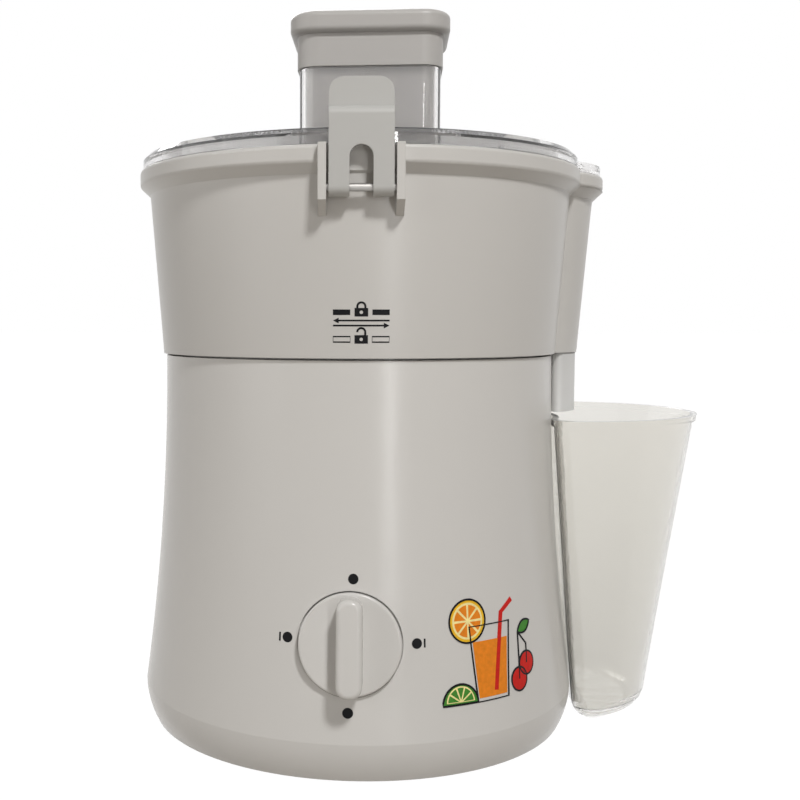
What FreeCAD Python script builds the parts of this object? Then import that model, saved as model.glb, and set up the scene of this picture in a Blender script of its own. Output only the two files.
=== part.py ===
"""Centrifugal juicer: motor base, juice bowl, strainer basket, clear lid, pusher and pulp container.

Millimetres. Z is the drive axis, the origin lies where it meets the table, and the front faces -Y.
"""
import FreeCAD, Part
import math
import os

Vector = FreeCAD.Vector
ORIGIN = Vector(0, 0, 0)
UP = Vector(0, 0, 1)
RIGHT = Vector(1, 0, 0)
BACK = Vector(0, 1, 0)

# Clearances
split_gap = 0.8            # dark line between the base and the bowl
seat_gap = 0.3             # bowl floor over the base deck, lid over the bowl flange
slide_gap = 0.5            # pusher in the feed tube, all round
running_gap = 0.05         # shafts and pins in their bores, radial
knob_gap = 0.5             # knob in its pocket
latch_gap = 0.3            # latch hook over the lid catch
hook_side_gap = 0.9        # latch beside its ears
chute_gap = 1.5            # chute above the container rim, and chute beside the base
screw_end_gap = 1.0        # screw tips short of the foot of their holes
shaft_pass = 1.0           # shaft through the deck and the brackets, radial
join = 1.0                 # how far joined forms run into each other
cut_over = 5.0             # how far cutting forms run past the faces they open
near = 0.1                 # how close an edge must lie to be picked for rounding

# Base housing
shoulder_z = 172.4
base_top_r = 91.3
base_flare = 10.7
base_foot_r = base_top_r + base_flare
base_foot_z = 18.0
base_foot_inset = 4.4
base_rim_r = base_foot_r - base_foot_inset
base_rim_z = 1.5
base_belly = 1.1           # how far the rounded foot has drawn in half way down
base_wall = 2.6
bowl_overhang = 1.4
lug_room = 4.3
bowl_wall = 2.4
bowl_foot_r = base_top_r + bowl_overhang
spigot_r = bowl_foot_r - bowl_wall - lug_room
spigot_bevel = 2.5
lug_count = 4
lug_angle = 26.0
lug_reach = 2.6
lug_height = 3.0
lug_rise = 5.2
lug_z = shoulder_z + lug_rise
bowl_lug_angle = 22.0
bowl_lug_gap = 1.0
deck_hub_r = 20.0
deck_hub_height = 4.5

# Base plate, feet and screws
plate_recess = 0.7
plate_z = base_rim_z + plate_recess
plate_thickness = 2.4
plate_edge_gap = 0.4
vent_count = 24
vent_inner_r = 24.0
vent_outer_r = 56.0
vent_width = 3.4
stiffener_offset = 3.5
stiffener_width = 2.5
stiffener_height = 3.0
foot_inset = 23.6
foot_circle_r = base_rim_r - foot_inset
foot_r = 9.0
foot_edge = 0.6
foot_stem_r = 4.0
foot_barb = 1.2
screw_inset = 13.6
screw_circle_r = base_rim_r - screw_inset
screw_r = 1.7
screw_head_r = 3.6
screw_head_height = 1.6
boss_r = 5.0
boss_height = 24.0
boss_rib = 4.0

# Cord grommet at the back
grommet_z = 26.0
grommet_r = 6.5
grommet_flange_r = 9.0
grommet_flange = 2.0
grommet_bore_r = 3.6

# Control knob and its switch
knob_z = 58.0
knob_tilt = 6.5
knob_r = 21.0
knob_proud = 2.2
knob_pocket = 3.0
knob_edge = 1.0
grip_width = 10.5
grip_length = 39.0
grip_height = 12.0
grip_edge = 2.2
grip_end_flat = 1.0
pad_r = 25.0
pad_thickness = 3.0
spindle_r = 3.0
spindle_reach = 8.0
switch_bush_r = 5.0
switch_width = 34.0
switch_height = 30.0
switch_depth = 20.0
switch_corner_r = 3.0

# Motor
shaft_r = 4.0
shaft_foot_z = 8.0
shaft_bevel = 0.6
stack_z = 72.0
stack_height = 36.0
stack_width = 72.0
stack_corner_r = 14.0
armature_r = 23.2
air_gap = 0.8
pole_half = 15.2
coil_thickness = 9.0
coil_inner_y = 19.5
coil_depth = 9.0
coil_overhang = 9.0
slot_count = 12
slot_width = 3.0
slot_depth = 7.0
slot_mouth = 1.0
winding_gap = 1.5          # armature heads inside the field coils
winding_height = 10.0
winding_swell = 1.5
winding_swell_height = 7.0
winding_shoulder = 7.0
commutator_r = 11.0
commutator_z = 44.0
commutator_height = 16.0
segment_gap = 0.6
segment_depth = 0.8
brush_width = 6.0
brush_height = 8.0
brush_length = 18.0
holder_wall = 2.5
holder_inner_r = 15.0
holder_length = 20.0
bracket_thickness = 5.0
bracket_width = 22.0
lower_bridge_z = 33.0
upper_bridge_z = 128.0
leg_depth = 5.0
bearing_r = 9.5
bearing_height = 7.0
bearing_cup_wall = 3.0
bearing_race = 1.7
shield_depth = 0.6
mount_circle_r = 52.0
mount_arm_width = 16.0
bush_r = 7.5
bush_height = 8.0
bush_waist = 1.2
motor_screw_r = 2.0
motor_screw_head_r = 3.8
motor_screw_head = 3.0
motor_screw_depth = 14.0
fan_r = 42.0
fan_z = 10.0
fan_height = 10.0
fan_blades = 11
fan_sheet = 1.6
fan_hub_r = 9.0
fan_sweep = 28.0
blade_start = 6.0
blade_end = 4.0
seal_r = 10.0
seal_height = 5.0
seal_lip = 2.0
seal_lip_depth = 1.5

# Juice bowl
bowl_spread = 5.7
flange_reach = 4.6
flange_land = 7.1
bowl_top_r = bowl_foot_r + bowl_spread
flange_r = bowl_top_r + flange_reach
bowl_height = 84.6
flange_side = 6.8
flange_depth = 11.0
flange_top_z = shoulder_z + bowl_height
flange_side_z = flange_top_z - flange_side
flange_under_z = flange_top_z - flange_depth
flange_round = 1.6
mouth_r = flange_r - flange_land
chamber_inset = 3.0
chamber_r = spigot_r - chamber_inset
trough_depth = 29.0
chamber_step = 10.0
floor_lift = 11.6
trough_z = flange_top_z - trough_depth
chamber_top_z = trough_z + chamber_step
floor_edge_z = shoulder_z + floor_lift
floor_rise = 4.6
collar_r = 26.0
collar_height = 12.0
collar_top_z = floor_edge_z + collar_height
spout_azimuth = 90.0
spout_bore_r = 7.5
spout_wall = 2.0
spout_length = 23.0
spout_reach = flange_r + spout_length
spout_fall = 8.0

# Pulp outlet of the bowl, the chute under it and the pulp container
pulp_azimuth = 16.0
outlet_inset = 14.7
outlet_distance = bowl_foot_r - outlet_inset
outlet_foot_r = 32.0
outlet_top_r = 38.5
outlet_flange = 4.5
chute_inset = 0.6
chute_r = outlet_foot_r - chute_inset
chute_wall = 2.0
chute_spigot = 8.0
chute_fit = 0.2
chute_corner_r = 3.0
container_rim_z = 143.5
container_top_shift = 3.0
container_top_distance = base_foot_r + container_top_shift
container_top_r = 64.0
container_foot_shift = 6.0
container_foot_distance = base_foot_r - container_foot_shift
container_foot_r = 50.0
container_back_gap = 1.7
container_wall = 1.8
container_floor = 2.4
container_corner_r = 9.0
container_foot_round = 8.0
container_foot_steps = 4
container_lip = 1.2
container_lip_height = 3.0

# Latches, one at the front and one at the back
latch_azimuth = 2.2        # both latches and the ears are turned this far about the drive axis
pin_inset = 0.4
pin_drop = 17.0
pin_reach = flange_r - pin_inset
pin_z = flange_top_z - pin_drop
pin_r = 1.6
knuckle_r = 3.6
latch_width = 25.4
latch_sheet = 2.6
shelf_rise = 31.0
latch_shelf_z = pin_z + shelf_rise
latch_bend_r = 3.4
latch_slot = 9.2
slot_rise = 16.0
latch_slot_top_z = pin_z + slot_rise
hook_width = 19.0
hook_depth = 5.2
tab_rise = 11.6
tab_inset = 1.0
hook_reach = pin_reach - hook_depth
tab_top_z = latch_shelf_z + tab_rise
tab_reach = pin_reach - tab_inset
tab_corner_r = 6.0
ear_thickness = 3.3
ear_drop = 10.5
ear_taper = 5.5
ear_foot_z = pin_z - ear_drop
ear_taper_z = ear_foot_z + ear_taper
ear_proud = 3.4
notch_land = 1.0

# Lid and feed tube
lid_inset = 1.4
lid_edge = 4.3
lid_crown = 6.4
lid_seat_z = flange_top_z + seat_gap
lid_r = flange_r - lid_inset
lid_side_z = lid_seat_z + lid_edge
lid_bevel = 2.0
lid_crown_z = lid_side_z + lid_crown
lid_wall = 2.4
lid_skirt_gap = 0.7
lid_skirt_wall = 2.2
lid_skirt_depth = 6.2
lid_skirt_z = flange_top_z - lid_skirt_depth
catch_width = 20.0
catch_rise = 5.8
catch_inset = 5.4
catch_depth = 6.2
catch_top_z = lid_side_z + catch_rise
catch_top_reach = lid_r - catch_inset
catch_back_reach = catch_top_reach - catch_depth
catch_back_slope = 1.5
catch_foot_inset = 0.6
tube_x = 5.5
tube_width = 64.6
tube_depth = 50.0
tube_corner_r = 9.0
tube_wall = 2.4
tube_over_plate = 14.5
tube_rise = 35.0

# Pusher
pusher_wall = 2.2
pusher_short = 6.0
pusher_head_width = 66.6
pusher_head = 15.0
pusher_flange_width = 73.0
pusher_flange = 9.5
pusher_lip_r = 2.6

# Strainer basket and its drive
coupling_r = 13.0
coupling_lift = 1.8
coupling_height = 9.0
coupling_lobes = 6
coupling_lobe_r = 3.0
coupling_fit = 0.25
basket_plate_lift = 7.5
basket_plate = 3.0
basket_room = 7.5
basket_taper = 17.0
basket_rise = 5.0
basket_rim_over = 5.0
basket_top_r = chamber_r - basket_room
basket_foot_r = basket_top_r - basket_taper
basket_top_z = chamber_top_z + basket_rise
basket_rim_r = chamber_r + basket_rim_over
basket_rim_height = 2.4
basket_ribs = 8
basket_rib_width = 3.0
basket_rib_depth = 2.4
basket_skirt_r = 31.0
basket_skirt_wall = 2.0
basket_skirt_drop = 4.5
hub_wall = 3.5
mesh_sheet = 0.6
mesh_rows = 7
mesh_columns = 28
mesh_slot_width = 2.2
mesh_slot_height = 3.6
grater_inset = 3.5
grater_r = basket_foot_r - grater_inset
grater_sheet = 0.8
tooth_r = 1.2
tooth_tip_r = 0.3
tooth_height = 1.4
tooth_pitch = 7.5
tooth_spacing = 12.0
tooth_stagger = 5.0        # degrees each ring of teeth is turned per millimetre of its radius

# Heights and radii that follow from the sizes above
bowl_bottom_z = shoulder_z + split_gap
deck_z = floor_edge_z - seat_gap
deck_hub_z = deck_z + deck_hub_height
plate_top_z = plate_z + plate_thickness
boss_top_z = plate_top_z + boss_height
screw_hole_z = plate_top_z + boss_height / 2
shaft_hole_r = shaft_r + shaft_pass
stack_top_z = stack_z + stack_height
winding_r = coil_inner_y - winding_gap
upper_bridge_top_z = upper_bridge_z + bracket_thickness
upper_cup_z = upper_bridge_z + bearing_cup_wall
lower_bridge_top_z = lower_bridge_z + bracket_thickness
lower_cup_z = lower_bridge_top_z - bearing_height
bush_top_z = upper_bridge_top_z + bush_height
coupling_z = deck_hub_z + coupling_lift
coupling_top_z = coupling_z + coupling_height
shaft_top_z = coupling_top_z
basket_plate_z = coupling_z + basket_plate_lift
basket_floor_z = basket_plate_z + basket_plate
latch_outer = pin_reach + knuckle_r
latch_inner = latch_outer - latch_sheet
chute_foot_z = container_rim_z + chute_gap
ear_inner = latch_width / 2 + hook_side_gap
tube_foot_z = basket_plate_z + tube_over_plate
tube_top_z = lid_crown_z + tube_rise
pusher_foot_z = tube_foot_z + pusher_short
pusher_shoulder_z = tube_top_z + seat_gap
pusher_head_top_z = tube_top_z + pusher_head
pusher_top_z = pusher_head_top_z + pusher_flange


def flare_radius(z):
    """Outer radius of the base housing at a height: an arc that is upright at the shoulder."""
    spread = base_foot_r - base_top_r
    drop = shoulder_z - base_foot_z
    bend = (drop ** 2 + spread ** 2) / (2 * spread)
    return base_top_r + bend - math.sqrt(bend ** 2 - (shoulder_z - z) ** 2)


def bowl_radius(z):
    """Outer radius of the bowl's conical wall at a height."""
    share = (z - bowl_bottom_z) / (flange_under_z - bowl_bottom_z)
    return bowl_foot_r + share * (bowl_top_r - bowl_foot_r)


def cone_radius(z):
    """Inner radius of the strainer cone at a height."""
    share = (z - basket_plate_z) / (basket_top_z - basket_plate_z)
    return basket_foot_r + share * (basket_top_r - basket_foot_r)


def lines(*points):
    """Straight runs through points, for a section."""
    return list(zip(points[:-1], points[1:]))


def section(*runs):
    """Face in the XZ plane, closed by runs of (r, z) points: two make a line, three an arc."""
    edges = []
    for run in runs:
        corners = [Vector(r, 0, z) for r, z in run]
        curve = Part.LineSegment(*corners) if len(corners) == 2 else Part.Arc(*corners).toBSpline()
        edges.append(curve.toShape())
    return Part.Face(Part.Wire(edges))


def spun(*runs):
    """Solid of revolution about the drive axis."""
    return section(*runs).revolve(ORIGIN, UP, 360)


def cylinder(radius, low, high, x=0.0, y=0.0):
    """Upright cylinder between two heights."""
    return Part.makeCylinder(radius, high - low, Vector(x, y, low))


def ring(outer, inner, low, high):
    """Upright ring between two heights."""
    return cylinder(outer, low, high).cut(cylinder(inner, low, high))


def block(x0, x1, y0, y1, z0, z1):
    """Box between two corners."""
    return Part.makeBox(x1 - x0, y1 - y0, z1 - z0, Vector(x0, y0, z0))


def turned(shape, degrees):
    """Copy turned about the drive axis."""
    copy = shape.copy()
    copy.rotate(ORIGIN, UP, degrees)
    return copy


def around(shape, count, start=0.0):
    """Copies spaced evenly round the drive axis."""
    return [turned(shape, start + 360.0 * index / count) for index in range(count)]


def polar(distance, degrees, z=0.0):
    """Point at a distance from the drive axis."""
    angle = math.radians(degrees)
    return Vector(distance * math.cos(angle), distance * math.sin(angle), z)


def side_profile(points, width):
    """Solid whose outline is given as (reach to the front, height) and whose width lies along X."""
    corners = [Vector(-width / 2, -reach, z) for reach, z in points]
    face = Part.Face(Part.makePolygon(corners + corners[:1]))
    return face.extrude(Vector(width, 0, 0))


def rounded_block(width, depth, corner, low, high, x=0.0):
    """Upright prism with rounded corners, centred at x on the X axis."""
    box = block(x - width / 2, x + width / 2, -depth / 2, depth / 2, low, high)
    return box.makeFillet(corner, edges_along(box, UP))


def circle_edges(shape, radius, z):
    """Round edges of a given radius at a given height."""
    rounds = [edge for edge in shape.Edges if isinstance(edge.Curve, Part.Circle)]
    level = [edge for edge in rounds if abs(edge.Curve.Center.z - z) < near]
    return [edge for edge in level if abs(edge.Curve.Radius - radius) < near]


def edges_along(shape, way):
    """Straight edges that run along a direction."""
    return [edge for edge in shape.Edges if abs(edge.tangentAt(edge.FirstParameter).dot(way)) > 1 - near]


def housing_form(wall):
    """Full form of the base housing up to its shoulder, drawn in by a wall."""
    roof_z = shoulder_z - wall
    waist_z = (base_foot_z + roof_z) / 2
    belly_z = (base_foot_z + base_rim_z) / 2
    rim = (base_rim_r - wall, base_rim_z)
    foot = (base_foot_r - wall, base_foot_z)
    top = (flare_radius(roof_z) - wall, roof_z)
    return spun(
        ((0, base_rim_z), rim),
        (rim, (base_foot_r - base_belly - wall, belly_z), foot),
        (foot, (flare_radius(waist_z) - wall, waist_z), top),
        *lines(top, (0, roof_z), (0, base_rim_z)),
    )


def on_knob_axis(shape):
    """Move a shape from the Z axis to the knob axis, its zero at the housing's face, outward up."""
    placed = shape.copy()
    placed.rotate(ORIGIN, Vector(1, 0, 0), 90.0 - knob_tilt)
    placed.translate(Vector(0, -flare_radius(knob_z), knob_z))
    return placed


def bayonet(inner, outer, low, angle):
    """Ring of lugs for the twist lock, centred on the diagonals."""
    high = low + lug_height
    outline = section(*lines((inner, low), (outer, low), (outer, high), (inner, high), (inner, low)))
    lug = outline.revolve(ORIGIN, UP, angle)
    return around(lug, lug_count, 180.0 / lug_count - angle / 2)


def base_housing():
    """Flared outer shell with the deck, spigot, motor posts, plate bosses and knob pocket."""
    outer = housing_form(0.0)
    spigot = cylinder(spigot_r, shoulder_z - base_wall, deck_z)
    spigot = spigot.makeChamfer(spigot_bevel, circle_edges(spigot, spigot_r, deck_z))
    hub = cylinder(deck_hub_r, deck_z - base_wall, deck_hub_z)
    shell = outer.fuse([spigot, hub] + bayonet(spigot_r - join, spigot_r + lug_reach, lug_z, lug_angle))
    hollow = housing_form(base_wall)
    under_spigot = cylinder(spigot_r - base_wall, shoulder_z - 2 * base_wall, deck_z - base_wall)
    shell = shell.cut([hollow, under_spigot])

    pad = on_knob_axis(cylinder(pad_r, -knob_pocket - pad_thickness, 0)).common(outer)
    post = cylinder(bush_r, bush_top_z, deck_z - base_wall, mount_circle_r)
    boss = cylinder(boss_r, plate_top_z, boss_top_z, screw_circle_r)
    rib = block(screw_circle_r, base_foot_r, -boss_rib / 2, boss_rib / 2, plate_top_z, boss_top_z)
    rib = rib.common(housing_form(base_wall / 2))
    shell = shell.fuse([pad] + around(post, 4, 45.0) + around(boss, 4) + around(rib, 4))

    grommet_start = flare_radius(grommet_z) - 2 * base_wall
    motor_hole = cylinder(motor_screw_r, bush_top_z, bush_top_z + motor_screw_depth, mount_circle_r)
    holes = [
        on_knob_axis(cylinder(knob_r + knob_gap, -knob_pocket, cut_over)),
        on_knob_axis(cylinder(switch_bush_r + running_gap, -knob_pocket - pad_thickness - cut_over, 0)),
        cylinder(seal_r, deck_hub_z - seal_height, deck_hub_z),
        cylinder(shaft_hole_r, deck_z - 2 * base_wall, deck_hub_z),
        Part.makeCylinder(grommet_r, 2 * base_wall + cut_over, Vector(0, grommet_start, grommet_z), BACK),
    ]
    holes += around(cylinder(screw_r, plate_top_z, screw_hole_z, screw_circle_r), 4)
    holes += around(motor_hole, 4, 45.0)
    return shell.cut(holes).removeSplitter()


def base_plate():
    """Round plate that closes the base, with a ring of radial vents and holes for feet and screws."""
    plate_r = base_rim_r - base_wall - plate_edge_gap
    plate = cylinder(plate_r, plate_z, plate_top_z)
    stiffener_r = vent_outer_r + stiffener_offset
    stiffener = ring(stiffener_r + stiffener_width, stiffener_r, plate_top_z, plate_top_z + stiffener_height)
    vent = block(vent_inner_r, vent_outer_r, -vent_width / 2, vent_width / 2, plate_z, plate_top_z)
    holes = around(vent, vent_count)
    holes += around(cylinder(foot_stem_r, plate_z, plate_top_z, foot_circle_r), 4, 45.0)
    screw_hole = cylinder(screw_r + running_gap, plate_z, plate_top_z, screw_circle_r)
    head_seat = cylinder(screw_head_r + running_gap, plate_z, plate_z + screw_head_height, screw_circle_r)
    holes += around(screw_hole.fuse(head_seat), 4)
    return plate.fuse(stiffener).cut(holes).removeSplitter()


def rubber_feet():
    """Four push-in feet."""
    pad = cylinder(foot_r, 0, plate_z, foot_circle_r)
    pad = pad.makeFillet(foot_edge, circle_edges(pad, foot_r, 0))
    stem = cylinder(foot_stem_r, plate_z, plate_top_z, foot_circle_r)
    barb = Part.makeCone(foot_stem_r + foot_barb, foot_stem_r, 2 * foot_barb,
                         Vector(foot_circle_r, 0, plate_top_z))
    return Part.makeCompound(around(pad.fuse([stem, barb]).removeSplitter(), 4, 45.0))


def base_screws():
    """Four screws that hold the base plate to its bosses."""
    head = cylinder(screw_head_r, plate_z, plate_z + screw_head_height, screw_circle_r)
    shank = cylinder(screw_r, plate_z, screw_hole_z - screw_end_gap, screw_circle_r)
    return Part.makeCompound(around(head.fuse(shank).removeSplitter(), 4))


def cord_grommet():
    """Flanged bush in the back wall."""
    wall_y = flare_radius(grommet_z)
    inner = Vector(0, wall_y - 2 * base_wall, grommet_z)
    flange_foot = Vector(0, wall_y - grommet_flange, grommet_z)
    body = Part.makeCylinder(grommet_r, 2 * base_wall, inner, BACK)
    flange = Part.makeCylinder(grommet_flange_r, 2 * grommet_flange, flange_foot, BACK)
    flange = flange.cut(housing_form(0.0))
    bore = Part.makeCylinder(grommet_bore_r, 2 * base_wall + cut_over, inner, BACK)
    return body.fuse(flange).cut(bore).removeSplitter()


def control_knob():
    """Round dial with a raised grip bar across it, and a hub that takes the spindle."""
    back = -knob_pocket + knob_gap
    dial = cylinder(knob_r, back, knob_proud)
    dial = dial.makeFillet(knob_edge, circle_edges(dial, knob_r, knob_proud))
    grip_top = knob_proud + grip_height
    grip_corner = (grip_width - grip_end_flat) / 2
    grip = rounded_block(grip_width, grip_length, grip_corner, knob_proud - join, grip_top)
    grip = grip.makeFillet(grip_edge, [edge for edge in grip.Edges if edge.BoundBox.ZMin > grip_top - near])
    bore = cylinder(spindle_r + running_gap, back, spindle_reach)
    return on_knob_axis(dial.fuse(grip).cut(bore).removeSplitter())


def switch_spindle():
    """Switch shaft from the switch body into the knob."""
    low = -knob_pocket - pad_thickness - switch_depth / 2
    return on_knob_axis(cylinder(spindle_r, low, spindle_reach))


def rotary_switch():
    """Switch body behind the knob pad, with its bush in the wall."""
    face = -knob_pocket - pad_thickness
    body = rounded_block(switch_width, switch_height, switch_corner_r, face - switch_depth, face)
    bush = cylinder(switch_bush_r, face, -knob_pocket)
    bore = cylinder(spindle_r + running_gap, face - switch_depth / 2, 0)
    return on_knob_axis(body.fuse(bush).cut(bore).removeSplitter())


def motor_bracket(bridge_z, leg_low, leg_high, cup_low):
    """Bridge across the motor with two legs to the stack and a cup for a bearing."""
    half = stack_width / 2
    side = bracket_width / 2
    bridge = block(-side, side, -half, half, bridge_z, bridge_z + bracket_thickness)
    legs = []
    for inner in (-half, half - leg_depth):
        legs.append(block(-side, side, inner, inner + leg_depth, leg_low, leg_high))
    cup_high = cup_low + bearing_height + bearing_cup_wall
    cup = cylinder(bearing_r + bearing_cup_wall, cup_low, cup_high)
    return bridge.fuse(legs + [cup])


def lower_bracket():
    """Bracket under the motor, with a cross bar that carries the brush holders."""
    bottom = lower_cup_z - bearing_cup_wall
    bracket = motor_bracket(lower_bridge_z, lower_bridge_z, stack_z, bottom)
    reach = holder_inner_r + holder_length
    bar = block(-reach, reach, -brush_width, brush_width, lower_bridge_z, lower_bridge_top_z)
    seat = cylinder(bearing_r, lower_cup_z, lower_bridge_top_z)
    return bracket.fuse(bar).cut([seat, cylinder(shaft_hole_r, bottom, lower_bridge_top_z)]).removeSplitter()


def upper_bracket():
    """Bracket over the motor, with four arms to the rubber bushes under the deck."""
    bracket = motor_bracket(upper_bridge_z, stack_top_z, upper_bridge_top_z, upper_bridge_z)
    side = mount_arm_width / 2
    arm = block(0, mount_circle_r, -side, side, upper_bridge_z, upper_bridge_top_z)
    eye = cylinder(side, upper_bridge_z, upper_bridge_top_z, mount_circle_r)
    bracket = bracket.fuse(around(arm.fuse(eye), 4, 45.0))
    seat = cylinder(bearing_r, upper_cup_z, upper_cup_z + bearing_height)
    passage = cylinder(shaft_hole_r, upper_bridge_z, upper_cup_z)
    hole = cylinder(motor_screw_r + running_gap, upper_bridge_z, upper_bridge_top_z, mount_circle_r)
    return bracket.cut([seat, passage] + around(hole, 4, 45.0)).removeSplitter()


def bearing(low):
    """Ball bearing as one closed ring with grooved shields."""
    high = low + bearing_height
    races = ring(bearing_r, shaft_r + running_gap, low, high)
    groove_in = shaft_r + bearing_race
    groove_out = bearing_r - bearing_race
    grooves = [ring(groove_out, groove_in, low, low + shield_depth),
               ring(groove_out, groove_in, high - shield_depth, high)]
    return races.cut(grooves)


def stator_core():
    """Laminated field stack with a round bore and four windows for the coils."""
    stack = rounded_block(stack_width, stack_width, stack_corner_r, stack_z, stack_top_z)
    cuts = [cylinder(armature_r + air_gap, stack_z, stack_top_z)]
    window = block(pole_half, pole_half + coil_thickness + slide_gap, coil_inner_y - slide_gap,
                   coil_inner_y + coil_depth + slide_gap, stack_z, stack_top_z)
    for flip_x in (False, True):
        for flip_y in (False, True):
            cut = window.mirror(ORIGIN, RIGHT) if flip_x else window
            cuts.append(cut.mirror(ORIGIN, BACK) if flip_y else cut)
    return stack.cut(cuts).removeSplitter()


def field_coils():
    """Two wound loops, one round each pole of the stack."""
    inner = pole_half + running_gap
    outer = pole_half + coil_thickness
    loop = block(-outer, outer, 0, coil_depth, stack_z - coil_overhang, stack_top_z + coil_overhang)
    loop = loop.makeFillet(coil_overhang, edges_along(loop, BACK))
    loop = loop.cut(block(-inner, inner, 0, coil_depth, stack_z - running_gap, stack_top_z + running_gap))
    loop.translate(Vector(0, coil_inner_y, 0))
    return Part.makeCompound([loop, turned(loop, 180.0)])


def brush_holders():
    """Two box guides standing on the lower bracket, with a slot for each brush."""
    middle = commutator_z + commutator_height / 2
    half_width = brush_width / 2 + running_gap
    half_height = brush_height / 2 + running_gap
    outer_r = holder_inner_r + holder_length
    holder = block(holder_inner_r, outer_r, -half_width - holder_wall, half_width + holder_wall,
                   lower_bridge_top_z, middle + half_height + holder_wall)
    slot = block(holder_inner_r, outer_r, -half_width, half_width, middle - half_height, middle + half_height)
    return Part.makeCompound(around(holder.cut(slot), 2))


def carbon_brushes():
    """Two carbon brushes that ride on the commutator."""
    middle = commutator_z + commutator_height / 2
    brush = block(0, commutator_r + brush_length, -brush_width / 2, brush_width / 2,
                  middle - brush_height / 2, middle + brush_height / 2)
    brush = brush.cut(cylinder(commutator_r + running_gap, commutator_z, commutator_z + commutator_height))
    return Part.makeCompound(around(brush, 2))


def motor_bushes():
    """Rubber bushes between the upper bracket and the posts of the deck."""
    low = upper_bridge_top_z
    bush = cylinder(bush_r, low, bush_top_z, mount_circle_r)
    waist = ring(bush_r + join, bush_r - bush_waist, low + bush_height / 3, low + bush_height * 2 / 3)
    waist.translate(Vector(mount_circle_r, 0, 0))
    bore = cylinder(motor_screw_r + running_gap, low, bush_top_z, mount_circle_r)
    return Part.makeCompound(around(bush.cut([waist, bore]), 4, 45.0))


def motor_screws():
    """Screws up through the bracket arms and bushes into the posts."""
    tip = bush_top_z + motor_screw_depth - screw_end_gap
    head = cylinder(motor_screw_head_r, upper_bridge_z - motor_screw_head, upper_bridge_z, mount_circle_r)
    shank = cylinder(motor_screw_r, upper_bridge_z, tip, mount_circle_r)
    return Part.makeCompound(around(head.fuse(shank).removeSplitter(), 4, 45.0))


def shaft_seal():
    """Lip seal in the hub of the deck."""
    bore_r = shaft_r + running_gap
    foot = deck_hub_z - seal_height
    return spun(*lines((bore_r, foot), (seal_r, foot), (seal_r, deck_hub_z), (bore_r + seal_lip, deck_hub_z),
                       (bore_r, deck_hub_z - seal_lip_depth), (bore_r, foot)))


def motor_shaft():
    """Steel shaft from the fan to the drive coupling."""
    shaft = cylinder(shaft_r, shaft_foot_z, shaft_top_z)
    return shaft.makeChamfer(shaft_bevel, circle_edges(shaft, shaft_r, shaft_top_z))


def armature_core():
    """Slotted iron core on the shaft."""
    core = ring(armature_r, shaft_r, stack_z, stack_top_z)
    slot = block(armature_r - slot_depth, armature_r, -slot_width / 2, slot_width / 2, stack_z, stack_top_z)
    return core.cut(around(slot, slot_count))


def armature_windings():
    """Copper in the slots, with a rounded head over each end of the core."""
    wire = block(armature_r - slot_depth, armature_r - slot_mouth, -slot_width / 2, slot_width / 2,
                 stack_z, stack_top_z)
    heads = []
    for base, way in ((stack_top_z, 1), (stack_z, -1)):
        tip = (winding_r - winding_shoulder, base + way * winding_height)
        swell = (winding_r - winding_swell, base + way * winding_swell_height)
        inner_tip = (shaft_r, base + way * winding_height)
        heads.append(spun(*lines(tip, inner_tip, (shaft_r, base), (winding_r, base)),
                          ((winding_r, base), swell, tip)))
    return heads[0].fuse([heads[1]] + around(wire, slot_count)).removeSplitter()


def commutator():
    """Copper segments on the shaft under the armature."""
    drum = ring(commutator_r, shaft_r, commutator_z, commutator_z + commutator_height)
    groove = block(commutator_r - segment_depth, commutator_r + join, -segment_gap / 2, segment_gap / 2,
                   commutator_z, commutator_z + commutator_height)
    return drum.cut(around(groove, 2 * slot_count))


def cooling_fan():
    """Radial fan under the motor, with swept blades under a disc."""
    disc_z = fan_z + fan_height - fan_sheet
    disc = cylinder(fan_r, disc_z, fan_z + fan_height)
    hub = cylinder(fan_hub_r, fan_z, fan_z + fan_height)
    root_r = fan_hub_r + blade_start
    blade = block(root_r, fan_r - blade_end, -fan_sheet / 2, fan_sheet / 2, fan_z, disc_z)
    blade.rotate(Vector(root_r, 0, 0), UP, fan_sweep)
    fan = disc.fuse([hub] + around(blade, fan_blades))
    return fan.cut(cylinder(shaft_r, fan_z, fan_z + fan_height)).removeSplitter()


def lobed_drum(radius, lobe_r, low, high, fit=0.0):
    """Drum with rounded lobes round its rim, larger by a fit where it is a socket."""
    lobe = cylinder(lobe_r + fit, low, high + fit, radius)
    return cylinder(radius + fit, low, high + fit).fuse(around(lobe, coupling_lobes))


def drive_coupling():
    """Lobed dog on the shaft end that drives the basket."""
    dog = lobed_drum(coupling_r, coupling_lobe_r, coupling_z, coupling_top_z)
    return dog.cut(cylinder(shaft_r, coupling_z, coupling_top_z)).removeSplitter()


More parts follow.
